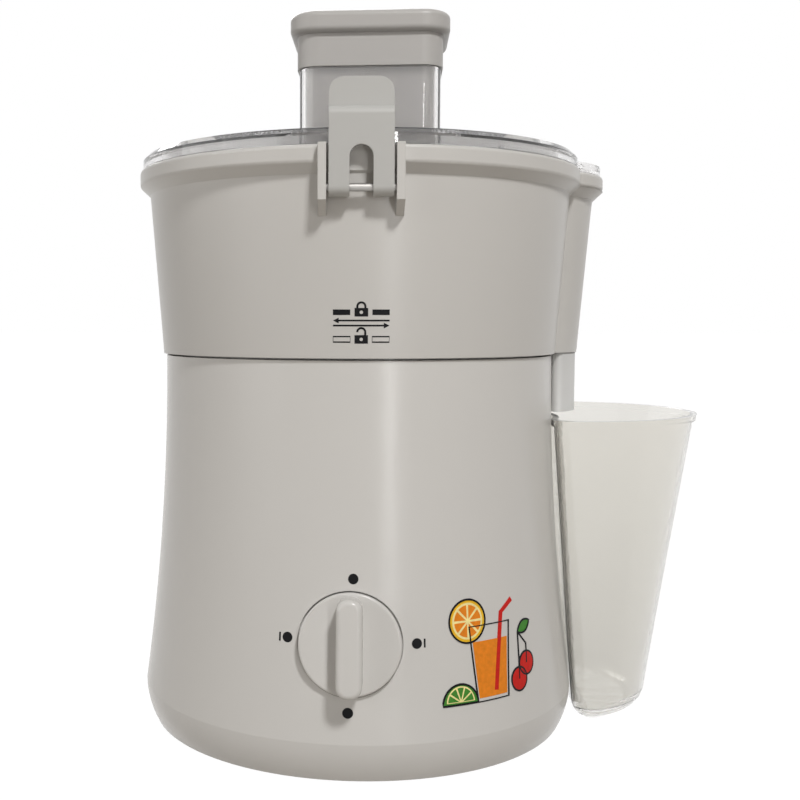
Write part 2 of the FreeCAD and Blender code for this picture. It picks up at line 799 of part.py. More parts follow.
def basket_frame():
    """Moulded basket: base plate, driven hub, splash skirt, ribs along the cone and a wide rim."""
    foot_outer = basket_foot_r + mesh_sheet + basket_rib_depth
    plate = cylinder(foot_outer, basket_plate_z, basket_floor_z)
    hub_r = coupling_r + coupling_lobe_r + hub_wall
    hub = cylinder(hub_r, coupling_z, basket_plate_z)
    skirt = ring(basket_skirt_r + basket_skirt_wall, basket_skirt_r, basket_plate_z - basket_skirt_drop,
                 basket_plate_z)
    under_rim = basket_top_z - basket_rim_height
    rim_top = basket_top_z + basket_rim_height
    rim_in = basket_top_r + mesh_sheet
    rim_out = rim_in + basket_rib_depth
    rim = spun(*lines((rim_in, under_rim), (rim_out, under_rim), (rim_out, basket_top_z),
                      (basket_rim_r, basket_top_z), (basket_rim_r, rim_top), (basket_top_r, rim_top),
                      (basket_top_r, basket_top_z), (rim_in, basket_top_z), (rim_in, under_rim)))
    inner_low = basket_foot_r + mesh_sheet
    rib = side_profile([(inner_low, basket_plate_z), (foot_outer, basket_plate_z), (rim_out, basket_top_z),
                        (rim_in, basket_top_z)], basket_rib_width)
    cone = Part.makeCone(inner_low, rim_in, basket_top_z - basket_plate_z, Vector(0, 0, basket_plate_z))
    ribs = [piece.cut(cone) for piece in around(rib, basket_ribs)]
    socket = lobed_drum(coupling_r, coupling_lobe_r, coupling_z, coupling_top_z, coupling_fit)
    frame = plate.fuse([hub, skirt, rim] + ribs)
    seat = Part.makeCone(cone_radius(basket_floor_z) + mesh_sheet, cone_radius(under_rim) + mesh_sheet,
                         under_rim - basket_floor_z, Vector(0, 0, basket_floor_z))
    return frame.cut([socket, seat]).removeSplitter()


def strainer_mesh():
    """Thin steel cone with rows of slots."""
    low = basket_floor_z
    height = basket_top_z - low
    inner = Part.makeCone(cone_radius(low), basket_top_r, height, Vector(0, 0, low))
    outer = Part.makeCone(cone_radius(low) + mesh_sheet, basket_top_r + mesh_sheet, height, Vector(0, 0, low))
    cone = outer.cut(inner)
    pitch = height / (mesh_rows + 1)
    slots = []
    for row in range(mesh_rows):
        z = low + pitch * (row + 1)
        slot = block(basket_foot_r - cut_over, basket_top_r + cut_over, -mesh_slot_width / 2,
                     mesh_slot_width / 2, z - mesh_slot_height / 2, z + mesh_slot_height / 2)
        slots += around(slot, mesh_columns, 180.0 / mesh_columns * (row % 2))
    return cone.cut(slots)


def grater_disc():
    """Steel disc on the basket's plate, with rings of upset teeth."""
    face_z = basket_floor_z + grater_sheet
    disc = cylinder(grater_r, basket_floor_z, face_z)
    teeth = []
    ring_r = 2 * tooth_pitch
    while ring_r < grater_r - tooth_pitch / 2:
        count = int(2 * math.pi * ring_r / tooth_spacing)
        tooth = Part.makeCone(tooth_r, tooth_tip_r, tooth_height, Vector(ring_r, 0, face_z))
        teeth += around(tooth, count, ring_r * tooth_stagger)
        ring_r += tooth_pitch
    return disc.fuse(teeth).removeSplitter()


def outlet_cone(shrink, low, high):
    """Tapered round column of the bowl's pulp outlet between two heights, drawn in by a wall."""
    slope = (outlet_top_r - outlet_foot_r) / (flange_side_z - bowl_bottom_z)
    centre = polar(outlet_distance, pulp_azimuth, low)
    return Part.makeCone(outlet_foot_r - shrink + slope * (low - bowl_bottom_z),
                         outlet_foot_r - shrink + slope * (high - bowl_bottom_z), high - low, centre)


def bowl_wall_form(inset):
    """Full form inside the bowl's conical wall, drawn in by an inset, up to the flange."""
    return Part.makeCone(bowl_foot_r - inset, bowl_radius(flange_top_z) - inset, flange_top_z - bowl_bottom_z,
                         Vector(0, 0, bowl_bottom_z))


def bowl_ring():
    """Wall, flange, pulp trough, juice chamber, sloping floor and centre collar, all round the axis."""
    chamber_out = chamber_r + bowl_wall
    floor_in = floor_edge_z + floor_rise
    shell = spun(*lines(
        (bowl_foot_r, bowl_bottom_z), (bowl_top_r, flange_under_z), (flange_r, flange_side_z),
        (flange_r, flange_top_z), (mouth_r, flange_top_z), (bowl_radius(trough_z) - bowl_wall, trough_z),
        (chamber_out, trough_z), (chamber_out, chamber_top_z), (chamber_r, chamber_top_z),
        (chamber_r, floor_edge_z + bowl_wall), (collar_r + bowl_wall, floor_in + bowl_wall),
        (collar_r + bowl_wall, collar_top_z), (collar_r, collar_top_z), (collar_r, floor_in),
        (chamber_out, floor_edge_z), (chamber_out, trough_z - bowl_wall),
        (bowl_radius(trough_z - bowl_wall) - bowl_wall, trough_z - bowl_wall),
        (bowl_foot_r - bowl_wall, bowl_bottom_z), (bowl_foot_r, bowl_bottom_z)))
    rounds = circle_edges(shell, flange_r, flange_side_z) + circle_edges(shell, flange_r, flange_top_z)
    return shell.makeFillet(flange_round, rounds)


def on_pin_axis(radius, length):
    """Cylinder along the front latch's hinge."""
    return Part.makeCylinder(radius, length, Vector(-length / 2, -pin_reach, pin_z), RIGHT)


def latch_ears():
    """Two ribs beside each latch, flush with the flange and tapered at the foot."""
    reach = pin_reach + ear_proud
    wall_in = bowl_radius(ear_foot_z) - bowl_wall / 2
    root = mouth_r + join
    profile = [(wall_in, ear_foot_z), (reach, ear_taper_z), (reach, flange_top_z), (root, flange_top_z),
               (root, flange_under_z)]
    ear = side_profile(profile, ear_thickness)
    offset = ear_inner + ear_thickness / 2
    hole = on_pin_axis(pin_r + running_gap / 2, 2 * ear_inner + 4 * ear_thickness)
    ears = []
    for side in (-offset, offset):
        copy = ear.copy()
        copy.translate(Vector(side, 0, 0))
        ears.append(copy.cut(hole))
    return ears


def juice_spout(radius, start, reach):
    """Round tube that falls outward from the juice chamber."""
    fall = math.radians(spout_fall)
    start_z = floor_edge_z + bowl_wall + spout_bore_r + (chamber_r - start) * math.tan(fall)
    way = Vector(math.cos(fall), 0, -math.sin(fall))
    tube = Part.makeCylinder(radius, (reach - start) / math.cos(fall), Vector(start, 0, start_z), way)
    return turned(tube, spout_azimuth)


def juice_bowl():
    """Juice bowl with its flange, latch ears, twist lugs, pulp outlet and juice spout."""
    ring_body = bowl_ring()
    notch = block(-ear_inner, ear_inner, -flange_r - cut_over, -bowl_top_r - notch_land,
                  flange_under_z - cut_over, flange_top_z)
    ring_body = ring_body.cut([turned(notch, latch_azimuth), turned(notch, latch_azimuth + 180.0)])

    outlet = outlet_cone(0.0, bowl_bottom_z, flange_side_z)
    lip_r = outlet_top_r + outlet_flange
    lip = Part.makeCylinder(lip_r, flange_top_z - flange_side_z,
                            polar(outlet_distance, pulp_azimuth, flange_side_z))
    lip = lip.makeFillet(flange_round, [e for e in lip.Edges if isinstance(e.Curve, Part.Circle)])
    neck = Part.makeCone(outlet_top_r, lip_r, flange_side_z - flange_under_z,
                         polar(outlet_distance, pulp_azimuth, flange_under_z))
    outlet = outlet.fuse([neck, lip]).cut(bowl_wall_form(bowl_wall / 2))
    spout = juice_spout(spout_bore_r + spout_wall, chamber_r, spout_reach)
    spout = spout.cut(cylinder(chamber_r + bowl_wall / 2, 0, flange_top_z))
    lugs = bayonet(spigot_r + bowl_lug_gap, bowl_foot_r - bowl_wall / 2, lug_z - lug_height - seat_gap,
                   bowl_lug_angle)
    ears = [turned(ear, latch_azimuth + half) for ear in latch_ears() for half in (0.0, 180.0)]
    body = ring_body.fuse([outlet, spout] + lugs + ears)

    pulp_way = outlet_cone(bowl_wall, bowl_bottom_z - join, flange_top_z + join)
    kept = [bowl_wall_form(0.0).common(cylinder(2 * flange_r, 0, trough_z)),
            cylinder(chamber_r + bowl_wall, 0, 2 * flange_top_z)]
    bore = juice_spout(spout_bore_r, chamber_r - cut_over, spout_reach + cut_over)
    return body.cut([pulp_way.cut(kept), bore]).removeSplitter()


def crescent(distance, radius, inner_r, corner, z):
    """Outline of a round column whose drive side is hollowed to a radius, with rounded corners."""
    reach = inner_r + corner
    along = (distance ** 2 + reach ** 2 - (radius - corner) ** 2) / (2 * distance)
    across = math.sqrt(reach ** 2 - along ** 2)
    centre = Vector(along, across, z)
    column = Vector(distance, 0, z)
    inward = (Vector(0, 0, z) - centre).normalize()
    outward = (centre - column).normalize()
    middle = (inward + outward).normalize()
    tips = [centre + way * corner for way in (inward, middle, outward)]
    far = [Vector(tip.x, -tip.y, z) for tip in tips]
    arcs = [
        Part.Arc(far[0], Vector(inner_r, 0, z), tips[0]),
        Part.Arc(*tips),
        Part.Arc(tips[2], Vector(distance + radius, 0, z), far[2]),
        Part.Arc(*far[::-1]),
    ]
    wire = Part.Wire([arc.toShape() for arc in arcs])
    wire.rotate(ORIGIN, UP, pulp_azimuth)
    return wire


def crescent_column(radius, inner_r, low, high):
    """Upright crescent column round the pulp outlet's axis."""
    outline = crescent(outlet_distance, radius, inner_r, chute_corner_r, low)
    return Part.Face(outline).extrude(Vector(0, 0, high - low))


def pulp_chute():
    """Chute plugged into the bowl's outlet that drops the pulp into the container."""
    inner_r = base_top_r + chute_gap
    shelf_z = bowl_bottom_z - seat_gap
    top = bowl_bottom_z + chute_spigot
    outer = crescent_column(chute_r, inner_r, chute_foot_z, shelf_z)
    plug_r = outlet_foot_r - bowl_wall - chute_fit
    plug_in = bowl_radius(top) + chute_fit
    plug = crescent_column(plug_r, plug_in, shelf_z, top)
    way = crescent_column(plug_r - chute_wall, plug_in + chute_wall, chute_foot_z, top)
    return outer.fuse(plug).cut(way).removeSplitter()


def container_radius(z):
    """Radius of the container's drive side at a height, a straight taper clear of the base."""
    foot = base_foot_r + container_back_gap
    top = flare_radius(container_rim_z) + container_back_gap
    return foot + (top - foot) * z / container_rim_z


def container_outline(shrink, z):
    """Outline of the container at a height, drawn in by a wall."""
    share = z / container_rim_z
    distance = container_foot_distance + share * (container_top_distance - container_foot_distance)
    radius = container_foot_r + share * (container_top_r - container_foot_r)
    return crescent(distance, radius - shrink, container_radius(z) + shrink, container_corner_r - shrink, z)


def container_form(shrink, low, foot_round):
    """Tapered bucket that follows the base, drawn in by a wall, with a rounded foot."""
    outlines = []
    for step in range(container_foot_steps + 1):
        turn = math.pi / 2 * step / container_foot_steps
        inset = foot_round * (1 - math.sin(turn))
        outlines.append(container_outline(shrink + inset, low + foot_round * (1 - math.cos(turn))))
    outlines.append(container_outline(shrink, container_rim_z))
    return Part.makeLoft(outlines, True, True)


def pulp_container():
    """Open bucket that hugs the base, with a thin lip."""
    outer = container_form(0.0, 0.0, container_foot_round)
    lip_z = container_rim_z - container_lip_height
    lip_outlines = [container_outline(-container_lip, z) for z in (lip_z, container_rim_z)]
    lip = Part.makeLoft(lip_outlines, True, True)
    inner = container_form(container_wall, container_floor, container_foot_round - container_wall)
    return outer.fuse(lip).cut(inner).removeSplitter()


def latch():
    """Front latch: hinge knuckles, plate with a slot, shelf with a hook under it and a finger tab."""
    ramp = catch_top_reach + catch_top_z + latch_gap * math.sqrt(2)
    shelf_foot_z = latch_shelf_z - latch_sheet
    shelf_outer = latch_outer - join
    hook_outer = latch_outer - latch_bend_r
    plate = side_profile([(latch_inner, pin_z), (latch_outer, pin_z), (latch_outer, latch_shelf_z),
                          (latch_inner, latch_shelf_z)], latch_width)
    shelf = side_profile([(hook_reach, shelf_foot_z), (shelf_outer, shelf_foot_z),
                          (shelf_outer, latch_shelf_z), (hook_reach, latch_shelf_z)], latch_width)
    plate = plate.fuse(shelf).removeSplitter()
    top = [edge for edge in plate.Edges if edge.BoundBox.ZMin > latch_shelf_z - near]
    plate = plate.makeFillet(latch_bend_r, [edge for edge in top if edge.BoundBox.YMax < -latch_outer + near])

    hook = side_profile([(hook_reach, ramp - hook_reach), (hook_outer, ramp - hook_outer),
                         (hook_outer, latch_shelf_z), (hook_reach, latch_shelf_z)], hook_width)
    half = latch_width / 2
    tab = block(-half, half, -tab_reach, -tab_reach + latch_sheet, shelf_foot_z, tab_top_z)
    corners = [edge for edge in edges_along(tab, BACK) if edge.BoundBox.ZMin > tab_top_z - near]
    tab = tab.makeFillet(tab_corner_r, corners)

    arch_z = latch_slot_top_z - latch_slot / 2
    front = latch_outer + cut_over
    depth = 2 * (knuckle_r + cut_over)
    slot = block(-latch_slot / 2, latch_slot / 2, -front, -front + depth, pin_z - 2 * knuckle_r, arch_z)
    arch = Part.makeCylinder(latch_slot / 2, depth, Vector(0, -front, arch_z), BACK)
    bore = on_pin_axis(pin_r + running_gap, 2 * latch_width)
    body = plate.fuse([on_pin_axis(knuckle_r, latch_width), hook, tab])
    return body.cut([slot, arch, bore]).removeSplitter()


def latch_pin():
    """Front hinge pin across the two ears."""
    return on_pin_axis(pin_r, 2 * (ear_inner + ear_thickness))


def lid():
    """Clear lid: rim over the flange, crown, skirt, cover of the pulp outlet, catches and feed tube."""
    skirt_out = mouth_r - lid_skirt_gap
    skirt_in = skirt_out - lid_skirt_wall
    bevel_r = lid_r - lid_bevel
    bevel_z = lid_side_z + lid_bevel
    slope = (lid_crown_z - bevel_z) / bevel_r
    under_z = lid_crown_z - lid_wall
    skirt_top = under_z - slope * skirt_in
    cap = spun(*lines((0, under_z), (skirt_in, skirt_top), (skirt_in, lid_skirt_z), (skirt_out, lid_skirt_z),
                      (skirt_out, lid_seat_z), (lid_r, lid_seat_z), (lid_r, lid_side_z), (bevel_r, bevel_z),
                      (0, lid_crown_z), (0, under_z)))
    cover_r = outlet_top_r + outlet_flange - (flange_r - lid_r)
    cover_foot = polar(outlet_distance, pulp_azimuth, lid_seat_z)
    cover = Part.makeCylinder(cover_r, lid_side_z - lid_seat_z, cover_foot)
    cover = cover.cut(cylinder(skirt_out, lid_seat_z, lid_side_z))
    under_cover = outlet_cone(bowl_wall, lid_skirt_z, lid_side_z - lid_wall)
    under_cover = under_cover.cut(cylinder(chamber_r, lid_skirt_z, lid_side_z))
    ramp_foot = lid_r - catch_foot_inset
    ramp_z = catch_top_z - (ramp_foot - catch_top_reach)
    root_z = lid_side_z - join
    catch = side_profile([(catch_back_reach, lid_side_z), (catch_back_reach + catch_back_slope, catch_top_z),
                          (catch_top_reach, catch_top_z), (ramp_foot, ramp_z), (ramp_foot, root_z),
                          (catch_back_reach, root_z)], catch_width)
    catches = [turned(catch, latch_azimuth + half) for half in (0.0, 180.0)]
    tube = rounded_block(tube_width, tube_depth, tube_corner_r, tube_foot_z, tube_top_z, tube_x)
    bore = rounded_block(tube_width - 2 * tube_wall, tube_depth - 2 * tube_wall, tube_corner_r - tube_wall,
                         tube_foot_z, tube_top_z, tube_x)
    return cap.fuse([cover, tube] + catches).cut([under_cover, bore]).removeSplitter()


def pusher():
    """Hollow pusher with a closed foot, a wider head that rests on the feed tube and a rolled lip."""
    def prism(width, low, high):
        """One step of the pusher, as deep as the feed tube is with the same margin all round."""
        margin = (width - tube_width) / 2
        return rounded_block(width, tube_depth + 2 * margin, tube_corner_r + margin, low, high, tube_x)

    body_width = tube_width - 2 * (tube_wall + slide_gap)
    body = prism(body_width, pusher_foot_z, pusher_shoulder_z)
    head = prism(pusher_head_width, pusher_shoulder_z, pusher_head_top_z)
    flange = prism(pusher_flange_width, pusher_head_top_z, pusher_top_z)
    rims = [edge for edge in flange.Edges if edge.BoundBox.ZLength < near]
    flange = flange.makeFillet(pusher_lip_r, rims)
    hollow = prism(body_width - 2 * pusher_wall, pusher_foot_z + pusher_wall, pusher_top_z)
    mouth = prism(pusher_head_width - 2 * pusher_wall, pusher_shoulder_z + pusher_wall, pusher_top_z)
    return body.fuse([head, flange]).cut([hollow, mouth]).removeSplitter()


def build():
    """Name every piece of the juicer."""
    front_latch = turned(latch(), latch_azimuth)
    front_pin = turned(latch_pin(), latch_azimuth)
    return {
        "base_housing": base_housing(),
        "base_plate": base_plate(),
        "rubber_feet": rubber_feet(),
        "base_screws": base_screws(),
        "cord_grommet": cord_grommet(),
        "control_knob": control_knob(),
        "switch_spindle": switch_spindle(),
        "rotary_switch": rotary_switch(),
        "lower_bracket": lower_bracket(),
        "upper_bracket": upper_bracket(),
        "lower_bearing": bearing(lower_cup_z),
        "upper_bearing": bearing(upper_cup_z),
        "stator_core": stator_core(),
        "field_coils": field_coils(),
        "brush_holders": brush_holders(),
        "carbon_brushes": carbon_brushes(),
        "motor_bushes": motor_bushes(),
        "motor_screws": motor_screws(),
        "shaft_seal": shaft_seal(),
        "motor_shaft": motor_shaft(),
        "armature_core": armature_core(),
        "armature_windings": armature_windings(),
        "commutator": commutator(),
        "cooling_fan": cooling_fan(),
        "drive_coupling": drive_coupling(),
        "basket_frame": basket_frame(),
        "strainer_mesh": strainer_mesh(),
        "grater_disc": grater_disc(),
        "juice_bowl": juice_bowl(),
        "pulp_chute": pulp_chute(),
        "front_latch_pin": front_pin,
        "rear_latch_pin": turned(front_pin, 180.0),
        "front_latch": front_latch,
        "rear_latch": turned(front_latch, 180.0),
        "lid": lid(),
        "pusher": pusher(),
        "pulp_container": pulp_container(),
    }


pieces = build()
os.makedirs("parts", exist_ok=True)
for name, shape in pieces.items():
    shape.exportStep(f"parts/{name}.step")
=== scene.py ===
"""Looks of the juicer: finishes, prints, strainer, grater, studio light and camera.

Metres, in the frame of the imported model: Z is the drive axis and the front faces -Y.
"""
import logging
import math
from dataclasses import dataclass, field
from enum import Enum
from typing import Dict, List, Optional, Sequence, Tuple, Union

import bmesh
import bpy
from mathutils import Matrix, Vector
from mathutils.bvhtree import BVHTree


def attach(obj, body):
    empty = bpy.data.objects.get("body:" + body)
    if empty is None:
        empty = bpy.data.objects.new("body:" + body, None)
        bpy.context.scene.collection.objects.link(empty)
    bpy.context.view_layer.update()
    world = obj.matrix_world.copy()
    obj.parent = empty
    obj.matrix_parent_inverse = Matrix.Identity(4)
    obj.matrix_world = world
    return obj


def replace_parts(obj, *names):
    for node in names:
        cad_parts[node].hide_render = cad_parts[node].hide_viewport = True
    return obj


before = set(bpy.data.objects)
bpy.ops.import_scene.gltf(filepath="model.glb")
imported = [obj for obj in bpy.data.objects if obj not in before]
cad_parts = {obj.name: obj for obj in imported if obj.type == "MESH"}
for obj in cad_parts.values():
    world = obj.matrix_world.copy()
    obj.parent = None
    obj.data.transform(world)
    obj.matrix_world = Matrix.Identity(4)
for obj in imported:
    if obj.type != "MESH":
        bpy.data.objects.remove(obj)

Colour = Tuple[float, float, float]
Point = Tuple[float, float]
Loop = Sequence[Point]
Shape = bmesh.types.BMesh
Ring = List[bmesh.types.BMVert]
Mesh = bpy.types.Mesh
Piece = bpy.types.Object
Material = bpy.types.Material
Socket = bpy.types.NodeSocket
Number = Union[Socket, float]
Inputs = Dict[Union[str, int], object]

MM = 0.001
CENTRE = (0.0, 0.0)
CLEAR_IOR = 1.46
NOISE_LOW, NOISE_HIGH = 0.2, 0.8    # range that holds nearly all of a noise pattern
WAVE_PERIOD = 0.314                 # spacing of a band texture's bands at scale 1
GOLDEN_ANGLE = 2.399963             # radians between neighbours on a sunflower spiral
LEAF_STEPS = 10
LEAF_FULLNESS = 0.8                 # power of a leaf's sides: lower is fuller
log = logging.getLogger("juicer")


class Body(Enum):
    """Rigid bodies that added pieces ride on."""

    BASE = "base"
    ROTOR = "rotor"
    BOWL = "bowl"


class Axis(Enum):
    """Directions across the bands of a layered finish."""

    X = "X"
    Z = "Z"


@dataclass
class NodePlan:
    """Adds and joins the nodes of one material, world or geometry tree."""

    tree: bpy.types.NodeTree

    def add(self, kind: str, inputs: Optional[Inputs] = None, **settings: object) -> bpy.types.Node:
        """Add one node.

        Args:
            kind: Blender's name of the node type.
            inputs: Values or sockets for the node's inputs, by name or by index.
            settings: Properties of the node.

        Returns:
            The new node.
        """
        node = self.tree.nodes.new(kind)
        for name, value in settings.items():
            setattr(node, name, value)
        for key, value in (inputs or {}).items():
            self.feed(node.inputs[key], value)
        return node

    def out(self, kind: str, inputs: Optional[Inputs] = None, **settings: object) -> Socket:
        """Add one node and give its first output."""
        return self.add(kind, inputs, **settings).outputs[0]

    def feed(self, socket: Socket, value: object) -> None:
        """Give an input a value, or join it to an output.

        Args:
            socket: Input socket.
            value: Output socket, or a plain value.
        """
        if isinstance(value, Socket):
            self.tree.links.new(value, socket)
        else:
            socket.default_value = value

    def maths(self, operation: str, *values: Number) -> Socket:
        """Add a sum, product or other step of arithmetic.

        Args:
            operation: Blender's name of the operation.
            values: Sockets or numbers.

        Returns:
            The result's socket.
        """
        node = self.add("ShaderNodeMath", operation=operation)
        for socket, value in zip(node.inputs, values):
            self.feed(socket, value)
        return node.outputs[0]


class Surface(NodePlan):
    """One material with a Principled shader and patterns on Object coordinates."""

    def __init__(self, name: str) -> None:
        """Start an empty material.

        Args:
            name: Name of the material.
        """
        self.material = bpy.data.materials.new(name)
        self.material.use_nodes = True
        super().__init__(self.material.node_tree)
        self.shader = self.tree.nodes["Principled BSDF"]
        self.place = self.add("ShaderNodeTexCoord").outputs["Object"]

    def put(self, **values: object) -> None:
        """Set inputs of the shader, with underscores for the spaces in their names."""
        for name, value in values.items():
            self.feed(self.shader.inputs[name.replace("_", " ")], value)

    def noise(self, scale: float, detail: float = 2.0, stretch: Sequence[float] = (1, 1, 1)) -> Socket:
        """Add a cloudy pattern.

        Args:
            scale: Features per metre.
            detail: Octaves.
            stretch: Scale along each axis.

        Returns:
            Socket with values about 0.5.
        """
        where = self.out("ShaderNodeMapping", {"Vector": self.place, "Scale": stretch})
        cloud = self.add("ShaderNodeTexNoise", {"Vector": where, "Scale": scale, "Detail": detail})
        return cloud.outputs["Fac"]

    def shades(self, pattern: Socket, dark: Colour, light: Colour,
               low: float = 0.3, high: float = 0.7) -> None:
        """Blend two colours by a pattern.

        Args:
            pattern: Pattern.
            dark: Colour where the pattern is low.
            light: Colour where the pattern is high.
            low: Pattern value of the dark colour.
            high: Pattern value of the light colour.
        """
        ramp = self.add("ShaderNodeValToRGB", {"Fac": pattern})
        stops = ramp.color_ramp.elements
        stops[0].position, stops[1].position = low, high
        stops[0].color, stops[1].color = (*dark, 1), (*light, 1)
        self.put(Base_Color=ramp.outputs["Color"])

    def rough(self, pattern: Socket, middle: float, play: float) -> None:
        """Vary the roughness by a pattern.

        Args:
            pattern: Pattern about 0.5.
            middle: Roughness in the middle of the pattern.
            play: Greatest difference from it.
        """
        spread = self.out("ShaderNodeMapRange", {
            "Value": pattern, "From Min": NOISE_LOW, "From Max": NOISE_HIGH,
            "To Min": middle - play, "To Max": middle + play})
        self.put(Roughness=spread)

    def relief(self, height: Socket, strength: float, distance: float, edge: float = 0.0) -> None:
        """Give the shader a bump, over softly broken edges where a radius is given.

        Args:
            height: Pattern of the bump.
            strength: Share of the bump that shows.
            distance: Height of the bump.
            edge: Radius of the broken edges.
        """
        bump = self.add("ShaderNodeBump", {"Height": height, "Strength": strength, "Distance": distance})
        if edge:
            self.feed(bump.inputs["Normal"], self.out("ShaderNodeBevel", {"Radius": edge}))
        self.put(Normal=bump.outputs[0])


@dataclass(frozen=True)
class Finish:
    """Name and colour of a finish; each kind dresses a material in its own way."""

    name: str
    colour: Colour

    def toned(self, factor: float) -> Colour:
        """Colour of the finish, darker or lighter by a factor."""
        return tuple(min(1.0, part * factor) for part in self.colour)

    def dress(self, surface: Surface) -> None:
        """Put the finish on an empty material."""
        raise NotImplementedError


@dataclass(frozen=True)
class MouldedPlastic(Finish):
    """Opaque moulded plastic with a faint skin texture and softly broken edges."""

    roughness: float = 0.34
    play: float = 0.012
    play_scale: float = 24.0
    mottle: float = 0.008
    mottle_scale: float = 6.0
    mottle_stretch: Sequence[float] = (1, 1, 0.5)
    skin: float = 0.04
    skin_scale: float = 650.0
    skin_height: float = 0.0001
    gloss: float = 0.36
    edge: float = 0.0005

    def dress(self, surface: Surface) -> None:
        """Put the finish on an empty material.

        Args:
            surface: The material.
        """
        cloud = surface.noise(self.mottle_scale, 1.0, self.mottle_stretch)
        surface.shades(cloud, self.toned(1 - self.mottle), self.toned(1 + self.mottle))
        surface.rough(surface.noise(self.play_scale), self.roughness, self.play)
        surface.put(Specular_IOR_Level=self.gloss)
        surface.relief(surface.noise(self.skin_scale), self.skin, self.skin_height, self.edge)


@dataclass(frozen=True)
class ClearPlastic(Finish):
    """See-through moulded plastic, clear or milky, with faint flow marks and a deeper tone low down."""

    roughness: float
    clearness: float
    depth: float = 0.98
    deep_height: float = 0.02
    pale_height: float = 0.16
    flow: float = 0.02
    flow_scale: float = 9.0
    flow_stretch: Sequence[float] = (1, 1, 0.35)
    play_share: float = 0.08

    def dress(self, surface: Surface) -> None:
        """Put the finish on an empty material.

        Args:
            surface: The material.
        """
        cloud = surface.noise(self.flow_scale, 1.0, self.flow_stretch)
        height = surface.add("ShaderNodeSeparateXYZ", {0: surface.place}).outputs[2]
        rise = surface.maths("MULTIPLY_ADD", cloud, self.flow, height)
        surface.shades(rise, self.toned(self.depth), self.colour, self.deep_height, self.pale_height)
        surface.rough(cloud, self.roughness, self.roughness * self.play_share)
        surface.put(IOR=CLEAR_IOR, Transmission_Weight=self.clearness)


@dataclass(frozen=True)
class Grained(Finish):
    """Finish with one fine pattern in its tone and roughness, and that or a finer one in its relief."""

    roughness: float = 0.4
    grain: Sequence[float] = (1, 1, 1)
    relief: float = 0.08
    relief_height: float = 0.0003
    scale: float = 420.0
    detail: float = 4.0
    dark: float = 0.86
    light: float = 1.08
    play: float = 0.07
    metallic: float = 0.0
    gloss: float = 0.5
    bump_scale: float = 0.0
    bump_detail: float = 3.0

    def dress(self, surface: Surface) -> None:
        """Put the finish on an empty material.

        Args:
            surface: The material.
        """
        marks = surface.noise(self.scale, self.detail, self.grain)
        surface.shades(marks, self.toned(self.dark), self.toned(self.light))
        surface.rough(marks, self.roughness, self.play)
        surface.put(Metallic=self.metallic, Specular_IOR_Level=self.gloss)
        bumps = surface.noise(self.bump_scale, self.bump_detail) if self.bump_scale else marks
        surface.relief(bumps, self.relief, self.relief_height)


@dataclass(frozen=True)
class Metal(Grained):
    """Metal with drawn or turned marks."""

    grain: Sequence[float] = (1, 1, 12)
    metallic: float = 1.0


@dataclass(frozen=True)
class Ink(Grained):
    """Screen-printed ink with a slightly uneven film."""

    roughness: float = 0.41
    relief: float = 0.05
    relief_height: float = 0.0002
    scale: float = 520.0
    detail: float = 3.0
    dark: float = 0.9
    gloss: float = 0.1


@dataclass(frozen=True)
class SoftRubber(Grained):
    """Matt rubber with a dusty bloom over a finer grain."""

    roughness: float = 0.72
    relief: float = 0.15
    relief_height: float = 0.0004
    scale: float = 160.0
    dark: float = 0.75
    light: float = 1.5
    play: float = 0.1
    bump_scale: float = 900.0


@dataclass(frozen=True)
class Layered(Finish):
    """Stacked metal sheets or wound wire: fine bands along one axis."""

    # Colour of the grooves: on laminations the dark joint between sheets, on wound wire painted shade
    # between the turns.
    groove_joint_and_shade: Colour
    pitch: float
    axis: Axis = Axis.Z
    waver: float = 0.4
    groove_end: float = 0.1
    crown_start: float = 0.6
    roughness: float = 0.42
    play: float = 0.08
    play_scale: float = 200.0
    relief: float = 0.5
    relief_height: float = 0.0003

    def dress(self, surface: Surface) -> None:
        """Put the finish on an empty material.

        Args:
            surface: The material.
        """
        wave = surface.add("ShaderNodeTexWave", {"Vector": surface.place, "Scale": WAVE_PERIOD / self.pitch,
                                                 "Distortion": self.waver, "Detail": 1.0},
                           wave_type="BANDS", bands_direction=self.axis.value)
        bands = wave.outputs["Fac"]
        surface.shades(bands, self.groove_joint_and_shade, self.colour, self.groove_end, self.crown_start)
        surface.rough(surface.noise(self.play_scale), self.roughness, self.play)
        surface.put(Metallic=1.0)
        surface.relief(bands, self.relief, self.relief_height)


